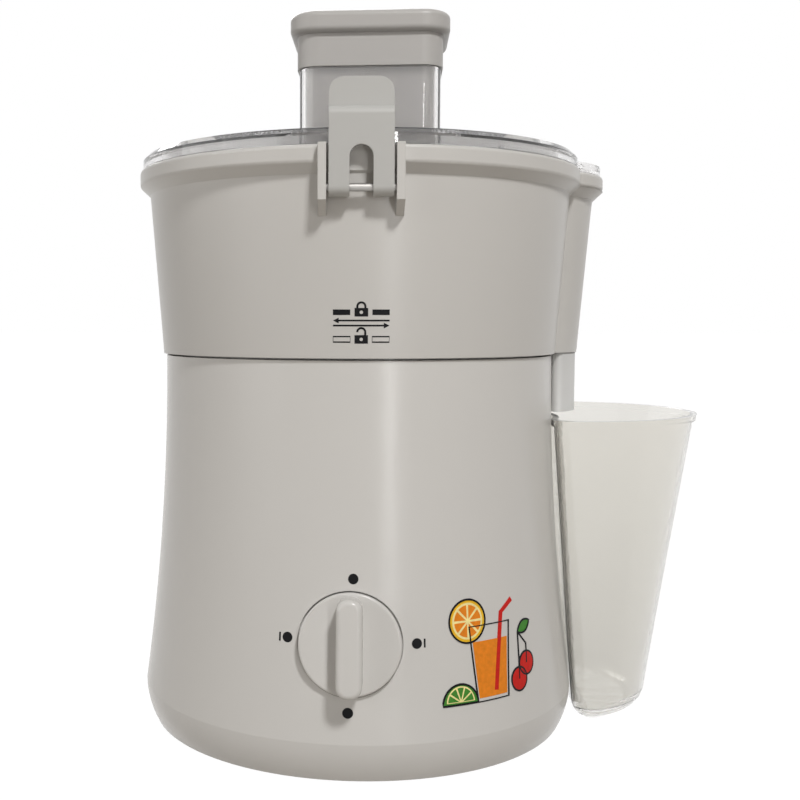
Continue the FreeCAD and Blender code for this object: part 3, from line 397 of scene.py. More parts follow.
class Finishes:
    """Every finish of the juicer, made once."""

    WHITE = MouldedPlastic("white_plastic", (0.600, 0.586, 0.562), roughness=0.24, gloss=0.42)
    # Same white plastic as the base, made darker: painted shade for the light falling off up the bowl.
    BOWL_WHITE_PAINTED_SHADE = MouldedPlastic("bowl_plastic_painted_shade", (0.560, 0.545, 0.520), roughness=0.3)
    # Same white plastic, made much darker: painted shade for the weaker light high up on the latches.
    LATCH_WHITE_PAINTED_SHADE = MouldedPlastic("latch_plastic_painted_shade", (0.455, 0.450, 0.432), roughness=0.38)
    # Same white plastic, made much darker: painted shade for the weaker light at the top, on the pusher.
    PUSHER_WHITE_PAINTED_SHADE = MouldedPlastic("pusher_plastic_painted_shade", (0.430, 0.415, 0.398), roughness=0.36)
    BASKET_WHITE = MouldedPlastic("basket_plastic", (0.62, 0.61, 0.59), roughness=0.42)
    GREY = MouldedPlastic("plate_plastic", (0.42, 0.42, 0.41), roughness=0.5, skin=0.2)
    DARK = MouldedPlastic("dark_plastic", (0.03, 0.03, 0.032), roughness=0.5, skin=0.2)
    CLEAR = ClearPlastic("clear_plastic", (0.915, 0.905, 0.900), 0.04, 0.97)
    MILKY = ClearPlastic("milky_plastic", (0.862, 0.848, 0.812), 0.07, 0.95, 0.90)
    CHUTE_MILKY = ClearPlastic("chute_plastic", (0.86, 0.855, 0.84), 0.35, 0.35)
    RUBBER = SoftRubber("rubber", (0.025, 0.025, 0.026))
    PIN_STEEL = Metal("pin_steel", (0.40, 0.385, 0.365), 0.5)
    STEEL = Metal("steel", (0.62, 0.62, 0.63), 0.26)
    SIEVE = Metal("sieve_steel", (0.66, 0.66, 0.67), 0.24, (1, 1, 1), 0.05)
    CAST = Metal("cast_aluminium", (0.70, 0.71, 0.72), 0.45, (1, 1, 1), 0.3)
    CARBON = SoftRubber("carbon", (0.02, 0.02, 0.022))
    IRON = Layered("laminations", (0.30, 0.30, 0.32), (0.08, 0.08, 0.085), 0.0007)
    # The darker groove colour between the wire turns is painted shade.
    COPPER = Layered("copper_wire", (0.72, 0.33, 0.15), (0.22, 0.08, 0.03), 0.0011, Axis.X)
    SEGMENTS = Metal("copper_bar", (0.75, 0.42, 0.24), 0.32)
    BLACK_INK = Ink("black_ink", (0.008, 0.008, 0.009))
    YELLOW_INK = Ink("yellow_ink", (0.86, 0.50, 0.03))
    PALE_INK = Ink("pale_ink", (0.92, 0.80, 0.36))
    ORANGE_INK = Ink("orange_ink", (0.80, 0.24, 0.02))
    RED_INK = Ink("red_ink", (0.58, 0.02, 0.015))
    GREEN_INK = Ink("green_ink", (0.06, 0.24, 0.035))
    PLATE_FILM = Metal("plate_film", (0.55, 0.55, 0.56), 0.38)

    _made: Dict[str, Material] = {}

    @classmethod
    def get(cls, finish: Finish) -> Material:
        """Material of a finish, built on first use.

        Args:
            finish: One of the finishes above.

        Returns:
            The material.
        """
        if finish.name not in cls._made:
            surface = Surface(finish.name)
            finish.dress(surface)
            cls._made[finish.name] = surface.material
        return cls._made[finish.name]


NODE_FINISHES: Dict[str, Finish] = {name: finish for finish, names in (
    (Finishes.WHITE, "base_housing control_knob"),
    (Finishes.BOWL_WHITE_PAINTED_SHADE, "juice_bowl"),
    (Finishes.LATCH_WHITE_PAINTED_SHADE, "front_latch rear_latch"),
    (Finishes.PUSHER_WHITE_PAINTED_SHADE, "pusher"),
    (Finishes.BASKET_WHITE, "basket_frame"),
    (Finishes.GREY, "base_plate"),
    (Finishes.DARK, "rotary_switch brush_holders cooling_fan drive_coupling"),
    (Finishes.CLEAR, "lid"),
    (Finishes.MILKY, "pulp_container"),
    (Finishes.CHUTE_MILKY, "pulp_chute"),
    (Finishes.RUBBER, "rubber_feet cord_grommet motor_bushes shaft_seal"),
    (Finishes.PIN_STEEL, "front_latch_pin rear_latch_pin"),
    (Finishes.SIEVE, "strainer_mesh grater_disc"),
    (Finishes.CAST, "lower_bracket upper_bracket"),
    (Finishes.CARBON, "carbon_brushes"),
    (Finishes.IRON, "stator_core armature_core"),
    (Finishes.COPPER, "field_coils armature_windings"),
    (Finishes.SEGMENTS, "commutator"),
) for name in names.split()}


def new_piece(name: str, mesh: Mesh, finish: Optional[Finish] = None) -> Piece:
    """Link a mesh to the scene as an object at the origin.

    Args:
        name: Name of the piece.
        mesh: Its mesh.
        finish: Finish of all its faces.

    Returns:
        The object.
    """
    piece = bpy.data.objects.new(name, mesh)
    bpy.context.scene.collection.objects.link(piece)
    if finish is not None:
        mesh.materials.clear()
        mesh.materials.append(Finishes.get(finish))
    return piece


def carried(piece: Piece, body: Body) -> Piece:
    """Let a piece ride on a body and report it.

    Args:
        piece: Finished piece.
        body: Body that carries it.

    Returns:
        The piece.
    """
    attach(piece, body.value)
    log.info("%s: %d faces on %s", piece.name, len(piece.data.polygons), body.value)
    return piece


def mesh_of(shape: Shape, name: str) -> Mesh:
    """Turn an edit mesh into a mesh, with its faces turned outwards, and free it.

    Args:
        shape: Edit mesh.
        name: Name of the mesh.

    Returns:
        The mesh.
    """
    bmesh.ops.recalc_face_normals(shape, faces=shape.faces[:])
    mesh = bpy.data.meshes.new(name)
    shape.to_mesh(mesh)
    shape.free()
    return mesh


def ring_at(shape: Shape, points: Loop, z: float) -> Ring:
    """New points of an edit mesh, all at one height."""
    return [shape.verts.new((x, y, z)) for x, y in points]


def edges_of(shape: Shape, ring: Ring) -> List[bmesh.types.BMEdge]:
    """New edges that join the points of a ring and close it."""
    return [shape.edges.new(pair) for pair in zip(ring, ring[1:] + ring[:1])]


def band(shape: Shape, low: Ring, high: Ring) -> None:
    """Fill the space between two rings with quads.

    Args:
        shape: Edit mesh.
        low: First ring.
        high: Second ring, with as many points.
    """
    for i in range(len(low)):
        j = (i + 1) % len(low)
        shape.faces.new((low[i], low[j], high[j], high[i]))


class GrowTree(NodePlan):
    """Geometry node tree with named inputs, ending in Realize Instances and Set Material."""

    def __init__(self, name: str, sizes: Dict[str, float]) -> None:
        """Start a tree.

        Args:
            name: Name of the tree.
            sizes: Named inputs with their values; whole numbers make whole-number inputs.
        """
        super().__init__(bpy.data.node_groups.new(name, "GeometryNodeTree"))
        face = self.tree.interface
        face.new_socket("Geometry", in_out="INPUT", socket_type="NodeSocketGeometry")
        face.new_socket("Geometry", in_out="OUTPUT", socket_type="NodeSocketGeometry")
        self.values: Dict[str, float] = {}
        for label, size in sizes.items():
            kind = "NodeSocketInt" if isinstance(size, int) else "NodeSocketFloat"
            self.values[face.new_socket(label, in_out="INPUT", socket_type=kind).identifier] = size
        finish = face.new_socket("Finish", in_out="INPUT", socket_type="NodeSocketMaterial")
        self.finish_key = finish.identifier
        self.given = self.add("NodeGroupInput").outputs

    def polar(self, radius: Socket, angle: Socket, height: Number = 0.0) -> Socket:
        """Add a position from a distance and an angle about the drive axis, and a height."""
        x, y = (self.maths("MULTIPLY", radius, self.maths(way, angle)) for way in ("COSINE", "SINE"))
        return self.out("ShaderNodeCombineXYZ", {0: x, 1: y, 2: height})

    def scatter(self, spot: Socket, angle: Socket) -> None:
        """Set copies of the mesh at points, as many as the input Count says, and finish the tree.

        Args:
            spot: Place of each copy.
            angle: Turn of each copy about Z.
        """
        line = self.out("GeometryNodeMeshLine", {"Count": self.given["Count"]})
        points = self.out("GeometryNodeSetPosition", {"Geometry": line, "Position": spot})
        turn = self.out("ShaderNodeCombineXYZ", {2: angle})
        copies = self.out("GeometryNodeInstanceOnPoints", {
            "Points": points, "Instance": self.given["Geometry"], "Rotation": turn})
        self.close(copies)

    def close(self, instances: Socket, bend: Optional[Socket] = None, weld: float = 0.0) -> None:
        """Finish the tree.

        Args:
            instances: Geometry so far.
            bend: New positions of the realized points, where the shape is bent.
            weld: Distance within which points are merged.
        """
        flow = self.out("GeometryNodeRealizeInstances", {0: instances})
        if bend is not None:
            flow = self.out("GeometryNodeSetPosition", {"Geometry": flow, "Position": bend})
        if weld:
            flow = self.out("GeometryNodeMergeByDistance", {"Geometry": flow, "Distance": weld})
        flow = self.out("GeometryNodeSetMaterial", {"Geometry": flow, "Material": self.given["Finish"]})
        self.add("NodeGroupOutput", {0: flow})

    def grow(self, name: str, seed_mesh: Mesh, finish: Finish) -> Piece:
        """Run the tree on a mesh and keep the result as a plain mesh.

        Args:
            name: Name of the piece.
            seed_mesh: Mesh that the tree repeats.
            finish: Finish of the result.

        Returns:
            The piece.
        """
        piece = new_piece(name, seed_mesh, finish)
        modifier = piece.modifiers.new(self.tree.name, "NODES")
        modifier.node_group = self.tree
        for key, size in self.values.items():
            modifier[key] = size
        modifier[self.finish_key] = Finishes.get(finish)
        bpy.context.view_layer.update()
        graph = bpy.context.evaluated_depsgraph_get()
        mesh = bpy.data.meshes.new_from_object(piece.evaluated_get(graph))
        piece.modifiers.clear()
        piece.data = mesh
        mesh.name = name
        return piece


class Pen:
    """Flat outlines, u to the right and v up; prints are drawn in millimetres."""

    @staticmethod
    def arc(centre: Point, radius: float, start: float, end: float, steps: int = 18) -> Loop:
        """Points along an arc, from one angle in degrees to another."""
        angles = [math.radians(start + (end - start) * i / steps) for i in range(steps + 1)]
        return [(centre[0] + radius * math.cos(a), centre[1] + radius * math.sin(a)) for a in angles]

    @staticmethod
    def disc(centre: Point, radius: float, steps: int = 36) -> Loop:
        """Points of a closed circle."""
        angles = [math.tau * i / steps for i in range(steps)]
        return [(centre[0] + radius * math.cos(a), centre[1] + radius * math.sin(a)) for a in angles]

    @staticmethod
    def stroke(points: Loop, width: float, closed: bool = False) -> List[Loop]:
        """Outline of a line of a given width.

        Args:
            points: Path.
            width: Width of the line.
            closed: Whether the path ends where it starts.

        Returns:
            One loop for an open line, two for a closed one.
        """
        sides: Tuple[List[Point], List[Point]] = ([], [])
        count = len(points)
        for i, (u, v) in enumerate(points):
            before = points[(i - 1) % count] if closed or i else points[i]
            after = points[(i + 1) % count] if closed or i < count - 1 else points[i]
            along = Vector((after[0] - before[0], after[1] - before[1])).normalized()
            for side, sign in zip(sides, (1, -1)):
                side.append((u - along.y * sign * width / 2, v + along.x * sign * width / 2))
        return [sides[0], sides[1]] if closed else [sides[0] + sides[1][::-1]]

    @staticmethod
    def leaf(stalk: Point, length: float, width: float, turn: float) -> Loop:
        """Pointed oval.

        Args:
            stalk: Stalk end.
            length: Length.
            width: Greatest width.
            turn: Direction in degrees.

        Returns:
            The closed outline.
        """
        shares = [i / LEAF_STEPS for i in range(LEAF_STEPS + 1)]
        rim = [(s, math.sin(math.pi * s) ** LEAF_FULLNESS) for s in shares]
        flat = [(s * length, w * width / 2) for s, w in rim]
        flat += [(s * length, -w * width / 2) for s, w in rim[-2:0:-1]]
        cos, sin = math.cos(math.radians(turn)), math.sin(math.radians(turn))
        return [(stalk[0] + x * cos - y * sin, stalk[1] + x * sin + y * cos) for x, y in flat]


@dataclass
class PrintedArea:
    """A place on a round wall that takes prints."""

    node: str
    body: Body
    azimuth: float
    height: float
    radius: float
    film: float = 0.00006
    grain: float = 2.0
    splits: int = 4
    reach: float = 1.6
    slot: str = "white_plastic"
    wall: BVHTree = field(init=False, repr=False)

    def __post_init__(self) -> None:
        """Keep the wall's faces, so that prints can be laid on them."""
        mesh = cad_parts[self.node].data
        self.wall = BVHTree.FromPolygons([v.co for v in mesh.vertices], [p.vertices for p in mesh.polygons])

    def on_wall(self, u: float, v: float, lift: float) -> Vector:
        """Point of the wall under a point of the print.

        Args:
            u: Millimetres to the right along the wall.
            v: Millimetres up.
            lift: Distance out from the wall.

        Returns:
            The point.
        """
        angle = math.radians(self.azimuth) + u * MM / self.radius
        out = Vector((math.sin(angle), -math.cos(angle), 0))
        start = out * (self.radius * self.reach) + Vector((0, 0, self.height + v * MM))
        hit = self.wall.ray_cast(start, -out)[0]
        return hit + out * lift

    def lay(self, name: str, shapes: Sequence[Sequence[Loop]], ink: Ink, layer: int = 0) -> None:
        """Print filled shapes in one ink.

        Args:
            name: Name of the piece.
            shapes: Each a list of loops: an outline and its holes.
            ink: Ink.
            layer: How many films lie under this one.
        """
        shape = bmesh.new()
        for loops in shapes:
            edges = [edge for loop in loops for edge in edges_of(shape, ring_at(shape, loop, 0.0))]
            bmesh.ops.triangle_fill(shape, use_beauty=True, use_dissolve=False, edges=edges)
        for _ in range(self.splits):
            long_edges = [edge for edge in shape.edges if edge.calc_length() > self.grain]
            if long_edges:
                bmesh.ops.subdivide_edges(shape, edges=long_edges, cuts=1)
                bmesh.ops.triangulate(shape, faces=shape.faces[:])
        for facet in shape.faces:
            if facet.normal.z < 0:
                facet.normal_flip()
        lower = shape.verts[:]
        grown = bmesh.ops.extrude_face_region(shape, geom=shape.faces[:], use_keep_orig=True)["geom"]
        upper = [vert for vert in grown if isinstance(vert, bmesh.types.BMVert)]
        for verts, lift in ((lower, -self.film / 2), (upper, self.film * (layer + 1))):
            for vert in verts:
                vert.co = self.on_wall(vert.co.x, vert.co.y, lift)
        carried(new_piece(name, mesh_of(shape, name), ink), self.body)


@dataclass
class DialMarks:
    """Dots and ticks round the knob."""

    area: PrintedArea
    dots: Sequence[Point] = ((1.2, 26.3), (-0.7, -27.3), (-26.0, 1.5), (27.4, -0.1))
    ticks: Sequence[Point] = ((-29.3, 1.5), (30.7, -0.1))
    dot_size: float = 4.3
    tick_height: float = 3.6
    tick_width: float = 0.75

    def build(self) -> None:
        """Print the marks."""
        marks = [[Pen.disc(dot, self.dot_size / 2)] for dot in self.dots]
        for u, v in self.ticks:
            ends = [(u, v - self.tick_height / 2), (u, v + self.tick_height / 2)]
            marks.append(Pen.stroke(ends, self.tick_width))
        self.area.lay("dial_marks", marks, Finishes.BLACK_INK)


@dataclass
class TwistMarks:
    """Closed padlock over open padlock with two arrows between them, for the bowl's twist lock."""

    area: PrintedArea
    width: float = 22.6
    line: float = 0.7
    shackle_line: float = 0.84
    bar_line: float = 0.56
    arrow_rise: float = 1.0
    arrow_head: float = 2.3
    body_width: float = 5.4
    body_height: float = 3.4
    keyhole_steps: int = 16
    bow: float = 1.6
    bow_steps: int = 12
    leg: float = 0.6
    closed_foot: float = 2.6
    open_foot: float = -8.2
    open_lift: float = 0.6
    bar_start: float = 4.4
    bar_height: float = 2.2

    def padlock(self, foot: float, lift: float) -> List[List[Loop]]:
        """Padlock as filled shapes.

        Args:
            foot: Foot of the body.
            lift: How far the shackle is drawn up.

        Returns:
            The shapes.
        """
        half = self.body_width / 2
        top = foot + self.body_height
        keyhole = Pen.disc((0.0, foot + self.body_height / 2), self.line, self.keyhole_steps)
        body = [(-half, foot), (half, foot), (half, top), (-half, top)]
        bow = Pen.arc((0.0, top + self.leg + lift), self.bow, 0, 180, self.bow_steps)
        shackle = [(self.bow, top), *bow, (-self.bow, top + 2 * lift)]
        return [[body, keyhole], Pen.stroke(shackle, self.shackle_line)]

    def bars(self, foot: float) -> List[Loop]:
        """Outlines of the two bars beside a padlock.

        Args:
            foot: Foot of the padlock's body.

        Returns:
            One loop per bar.
        """
        low = foot + (self.body_height - self.bar_height) / 2
        high = low + self.bar_height
        ends = [(side * self.bar_start, side * self.width / 2) for side in (-1, 1)]
        return [[(near, low), (far, low), (far, high), (near, high)] for near, far in ends]

    def arrow(self, v: float, way: int) -> List[List[Loop]]:
        """Thin arrow across the print.

        Args:
            v: Height.
            way: 1 to the right, -1 to the left.

        Returns:
            The shapes.
        """
        tip = way * self.width / 2
        neck = tip - way * self.arrow_head
        head = [(tip, v), (neck, v + self.arrow_head / 2), (neck, v - self.arrow_head / 2)]
        return [Pen.stroke([(-tip, v), (neck, v)], self.line), [head]]

    def build(self) -> None:
        """Print the symbols: solid bars beside the closed padlock, outlined ones beside the open one."""
        shapes = self.padlock(self.closed_foot, 0.0) + self.padlock(self.open_foot, self.open_lift)
        shapes += [[bar] for bar in self.bars(self.closed_foot)]
        shapes += [Pen.stroke(bar, self.bar_line, True) for bar in self.bars(self.open_foot)]
        shapes += self.arrow(self.arrow_rise, -1) + self.arrow(-self.arrow_rise, 1)
        self.area.lay("twist_marks", shapes, Finishes.BLACK_INK)


@dataclass
class FruitPrint:
    """Juice glass with a straw, a citrus slice, cherries and a lime wedge."""

    area: PrintedArea
    line: float = 0.75
    glass: Loop = ((-11.0, 9.0), (-8.2, -22.0), (8.2, -22.0), (11.0, 9.0))
    juice: Loop = ((-9.4, 2.5), (-7.4, -20.6), (7.4, -20.6), (9.4, 2.5))
    straw: Loop = ((1.5, -18.5), (6.6, 13.0), (13.5, 17.6))
    straw_width: float = 2.1
    orange: Point = (-11.5, 11.5)
    rind: float = 8.9
    pith: float = 7.5
    pulp: float = 6.6
    orange_parts: int = 8
    lime: Point = (-16.4, -21.8)
    lime_rise: float = 0.9
    lime_rind: float = 8.2
    lime_pith: float = 6.5
    lime_pulp: float = 5.9
    lime_parts: int = 5
    part_hub: float = 0.16
    part_share: float = 0.4
    part_steps: int = 6
    cherries: Sequence[Point] = ((15.6, -16.6), (21.2, -10.8))
    cherry: float = 4.9
    stem_bend: Point = (0.6, 8.0)
    stem_top: Point = (16.5, 3.0)
    stem_width: float = 0.7
    leaf_length: float = 9.5
    leaf_width: float = 5.0
    leaf_turn: float = 22.0

    def slice_parts(self, centre: Point, radius: float, sweep: float, count: int) -> List[List[Loop]]:
        """Segments of a cut citrus fruit.

        Args:
            centre: Centre.
            radius: Outer radius of the segments.
            sweep: Angle that they fill, in degrees.
            count: Number of segments.

        Returns:
            One shape per segment.
        """
        parts = []
        step = sweep / count
        for i in range(count):
            middle = step * (i + 0.5)
            hub = Pen.arc(centre, self.part_hub * radius, middle, middle, 1)[0]
            reach = step * self.part_share
            rim = Pen.arc(centre, radius, middle - reach, middle + reach, self.part_steps)
            parts.append([[hub, *rim]])
        return parts

    def build(self) -> None:
        """Print the design, one piece per ink."""
        lime_heart = (self.lime[0], self.lime[1] + self.lime_rise)
        leaf = Pen.leaf(self.stem_top, self.leaf_length, self.leaf_width, self.leaf_turn)
        wedge = Pen.arc(self.lime, self.lime_rind, 0, 180)
        inner_wedge = Pen.arc(lime_heart, self.lime_pith, 0, 180)
        rind = Pen.disc(self.orange, self.rind)
        berries = [Pen.disc(spot, self.cherry) for spot in self.cherries]
        pulp = self.slice_parts(self.orange, self.pulp, 360, self.orange_parts)
        lime_pulp = self.slice_parts(lime_heart, self.lime_pulp, 180, self.lime_parts)
        straw = Pen.stroke(self.straw, self.straw_width)
        lines = [Pen.stroke(loop, self.line, True) for loop in (self.glass, leaf, wedge, rind, *berries)]
        for u, v in self.cherries:
            stem = [(u, v), (u + self.stem_bend[0], v + self.stem_bend[1]), self.stem_top]
            lines.append(Pen.stroke(stem, self.stem_width))
        lay = self.area.lay
        lay("print_juice", [[self.juice]] + pulp, Finishes.ORANGE_INK, 2)
        lay("print_rind", [[rind]], Finishes.YELLOW_INK, 0)
        lay("print_pith", [[Pen.disc(self.orange, self.pith)], [inner_wedge]], Finishes.PALE_INK, 1)
        lay("print_green", [[wedge], [leaf]], Finishes.GREEN_INK, 0)
        lay("print_lime", lime_pulp, Finishes.GREEN_INK, 2)
        lay("print_red", [straw] + [[berry] for berry in berries], Finishes.RED_INK, 3)
        lay("print_lines", lines, Finishes.BLACK_INK, 4)


@dataclass
class StrainerCone:
    """Perforated cone of thin steel, with a hole in every cell."""

    foot_radius: float = 0.05962
    top_radius: float = 0.0755
    foot_height: float = 0.2005
    top_height: float = 0.2430
    sheet: float = 0.0006
    columns: int = 110
    rows: int = 16
    hole: float = 0.62
    weld: float = 0.00002

    def cell(self) -> Mesh:
        """One square cell with an eight-sided hole, one unit wide and as thick as the sheet.

        Returns:
            The mesh.
        """
        shape = bmesh.new()
        rim = [(0.5, 0), (0.5, 0.5), (0, 0.5), (-0.5, 0.5), (-0.5, 0), (-0.5, -0.5), (0, -0.5), (0.5, -0.5)]
        eye = Pen.disc(CENTRE, self.hole / 2, len(rim))
        low_rim, low_eye = (ring_at(shape, points, 0.0) for points in (rim, eye))
        high_rim, high_eye = (ring_at(shape, points, self.sheet) for points in (rim, eye))
        band(shape, high_rim, high_eye)
        band(shape, low_eye, low_rim)
        band(shape, high_eye, low_eye)
        return mesh_of(shape, "strainer_cell")

    def tree(self) -> GrowTree:
        """Tree that fills a sheet with cells and rolls it into a cone.

        Returns:
            The tree.
        """
        tree = GrowTree("strainer_sheet", {"Columns": self.columns, "Rows": self.rows,
                                           "Foot Radius": self.foot_radius, "Top Radius": self.top_radius,
                                           "Foot Height": self.foot_height, "Top Height": self.top_height})
        given = tree.given
        grid = tree.out("GeometryNodeMeshGrid", {
            "Size X": 1.0, "Size Y": 1.0, "Vertices X": tree.maths("ADD", given["Columns"], 1),
            "Vertices Y": tree.maths("ADD", given["Rows"], 1)})
        spots = tree.out("GeometryNodeMeshToPoints", {"Mesh": grid}, mode="FACES")
        width, depth = (tree.maths("DIVIDE", 1.0, given[count]) for count in ("Columns", "Rows"))
        size = tree.out("ShaderNodeCombineXYZ", {0: width, 1: depth, 2: 1.0})
        cells = tree.out("GeometryNodeInstanceOnPoints", {"Points": spots, "Instance": given["Geometry"],
                                                          "Scale": size})
        where = tree.out("GeometryNodeInputPosition")
        along, up, out = tree.add("ShaderNodeSeparateXYZ", {0: where}).outputs
        rise = tree.maths("ADD", up, 0.5)
        stagger = tree.maths("DIVIDE", tree.maths("MULTIPLY", given["Rows"], 0.5), given["Columns"])
        angle = tree.maths("MULTIPLY", tree.maths("MULTIPLY_ADD", up, stagger, along), math.tau)
        spread = tree.maths("SUBTRACT", given["Top Radius"], given["Foot Radius"])
        radius = tree.maths("ADD", tree.maths("MULTIPLY_ADD", rise, spread, given["Foot Radius"]), out)
        span = tree.maths("SUBTRACT", given["Top Height"], given["Foot Height"])
        height = tree.maths("MULTIPLY_ADD", rise, span, given["Foot Height"])
        tree.close(cells, tree.polar(radius, angle, height), self.weld)
        return tree

    def build(self) -> None:
        """Make the cone and close its two ends."""
        piece = self.tree().grow("strainer_sieve", self.cell(), Finishes.SIEVE)
        shape = bmesh.new()
        shape.from_mesh(piece.data)
        middle = (self.foot_height + self.top_height) / 2
        for upper in (False, True):
            rim = [e for e in shape.edges if e.is_boundary and (e.verts[0].co.z > middle) == upper]
            bmesh.ops.bridge_loops(shape, edges=rim)
        bmesh.ops.recalc_face_normals(shape, faces=shape.faces[:])
        shape.to_mesh(piece.data)
        shape.free()
        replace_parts(carried(piece, Body.ROTOR), "strainer_mesh")


@dataclass
class GraterDisc:
    """Steel disc with a pressed centre and upset teeth in a spiral."""

    radius: float = 0.055
    foot: float = 0.2005
    sheet: float = 0.0008
    rim_width: float = 0.0004
    rim_drop: float = 0.0003
    steps: int = 72
    weld: float = 1e-6
    dome_radius: float = 0.012
    dome_height: float = 0.0012
    dome: Loop = ((0.0, 1.0), (0.55, 0.9), (0.9, 0.25), (1.1, 0.0))
    tooth_count: int = 230
    tooth_inner: float = 0.0165
    tooth_outer: float = 0.052
    tooth_length: float = 0.0030
    tooth_width: float = 0.0022
    tooth_height: float = 0.0014
    tooth_taper: float = 0.4
    tip_share: float = 0.8
    tip_lean: float = 0.0003
    tip_point: float = 0.0003

    def disc(self) -> Piece:
        """Make the disc itself.

        Returns:
            The piece.
        """
        top = self.foot + self.sheet
        profile = [(r * self.dome_radius, top + h * self.dome_height) for r, h in self.dome]
        profile += [(self.radius - self.rim_width, top), (self.radius, top - self.rim_drop),
                    (self.radius, self.foot), (0.0, self.foot)]
        shape = bmesh.new()
        verts = [shape.verts.new((r, 0, z)) for r, z in profile]
        edges = [shape.edges.new(pair) for pair in zip(verts, verts[1:])]
        bmesh.ops.spin(shape, geom=verts + edges, cent=(0, 0, 0), axis=(0, 0, 1), angle=math.tau,
                       steps=self.steps)
        bmesh.ops.remove_doubles(shape, verts=shape.verts[:], dist=self.weld)
        return new_piece("grater_plate", mesh_of(shape, "grater_plate"), Finishes.SIEVE)

    def tooth(self) -> Mesh:
        """One tooth: a lifted tongue with a sharp front edge.

        Returns:
            The mesh.
        """
        length, half = self.tooth_length, self.tooth_width / 2
        back = half * self.tooth_taper
        shape = bmesh.new()
        base = ring_at(shape, ((0, -half), (length, -back), (length, back), (0, half)), 0.0)
        ends = [(-self.tip_lean, y) for y in (-half * self.tip_share, 0, half * self.tip_share)]
        tips = ring_at(shape, ends, self.tooth_height)
        tips[1].co.z += self.tip_point
        a, b, c, d = base
        left, point, right = tips
        for corners in ((a, b, left), (b, point, left), (b, c, point), (c, right, point), (c, d, right),
                        (d, a, left, point, right), (d, c, b, a)):
            shape.faces.new(corners)
        return mesh_of(shape, "grater_tooth")

    def tree(self) -> GrowTree:
        """Tree that sets teeth along a sunflower spiral.

        Returns:
            The tree.
        """
        tree = GrowTree("grater_teeth", {"Count": self.tooth_count, "Inner": self.tooth_inner,
                                         "Outer": self.tooth_outer, "Height": self.foot + self.sheet})
        given = tree.given
        index = tree.out("GeometryNodeInputIndex")
        share = tree.maths("DIVIDE", index, given["Count"])
        low, high = (tree.maths("MULTIPLY", given[end], given[end]) for end in ("Inner", "Outer"))
        area = tree.maths("MULTIPLY_ADD", share, tree.maths("SUBTRACT", high, low), low)
        angle = tree.maths("MULTIPLY", index, GOLDEN_ANGLE)
        spot = tree.polar(tree.maths("SQRT", area), angle, given["Height"])
        tree.scatter(spot, tree.maths("ADD", angle, math.pi / 2))
        return tree

    def build(self) -> None:
        """Make the disc and its teeth."""
        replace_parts(carried(self.disc(), Body.ROTOR), "grater_disc")
        carried(self.tree().grow("grater_teeth", self.tooth(), Finishes.SIEVE), Body.ROTOR)


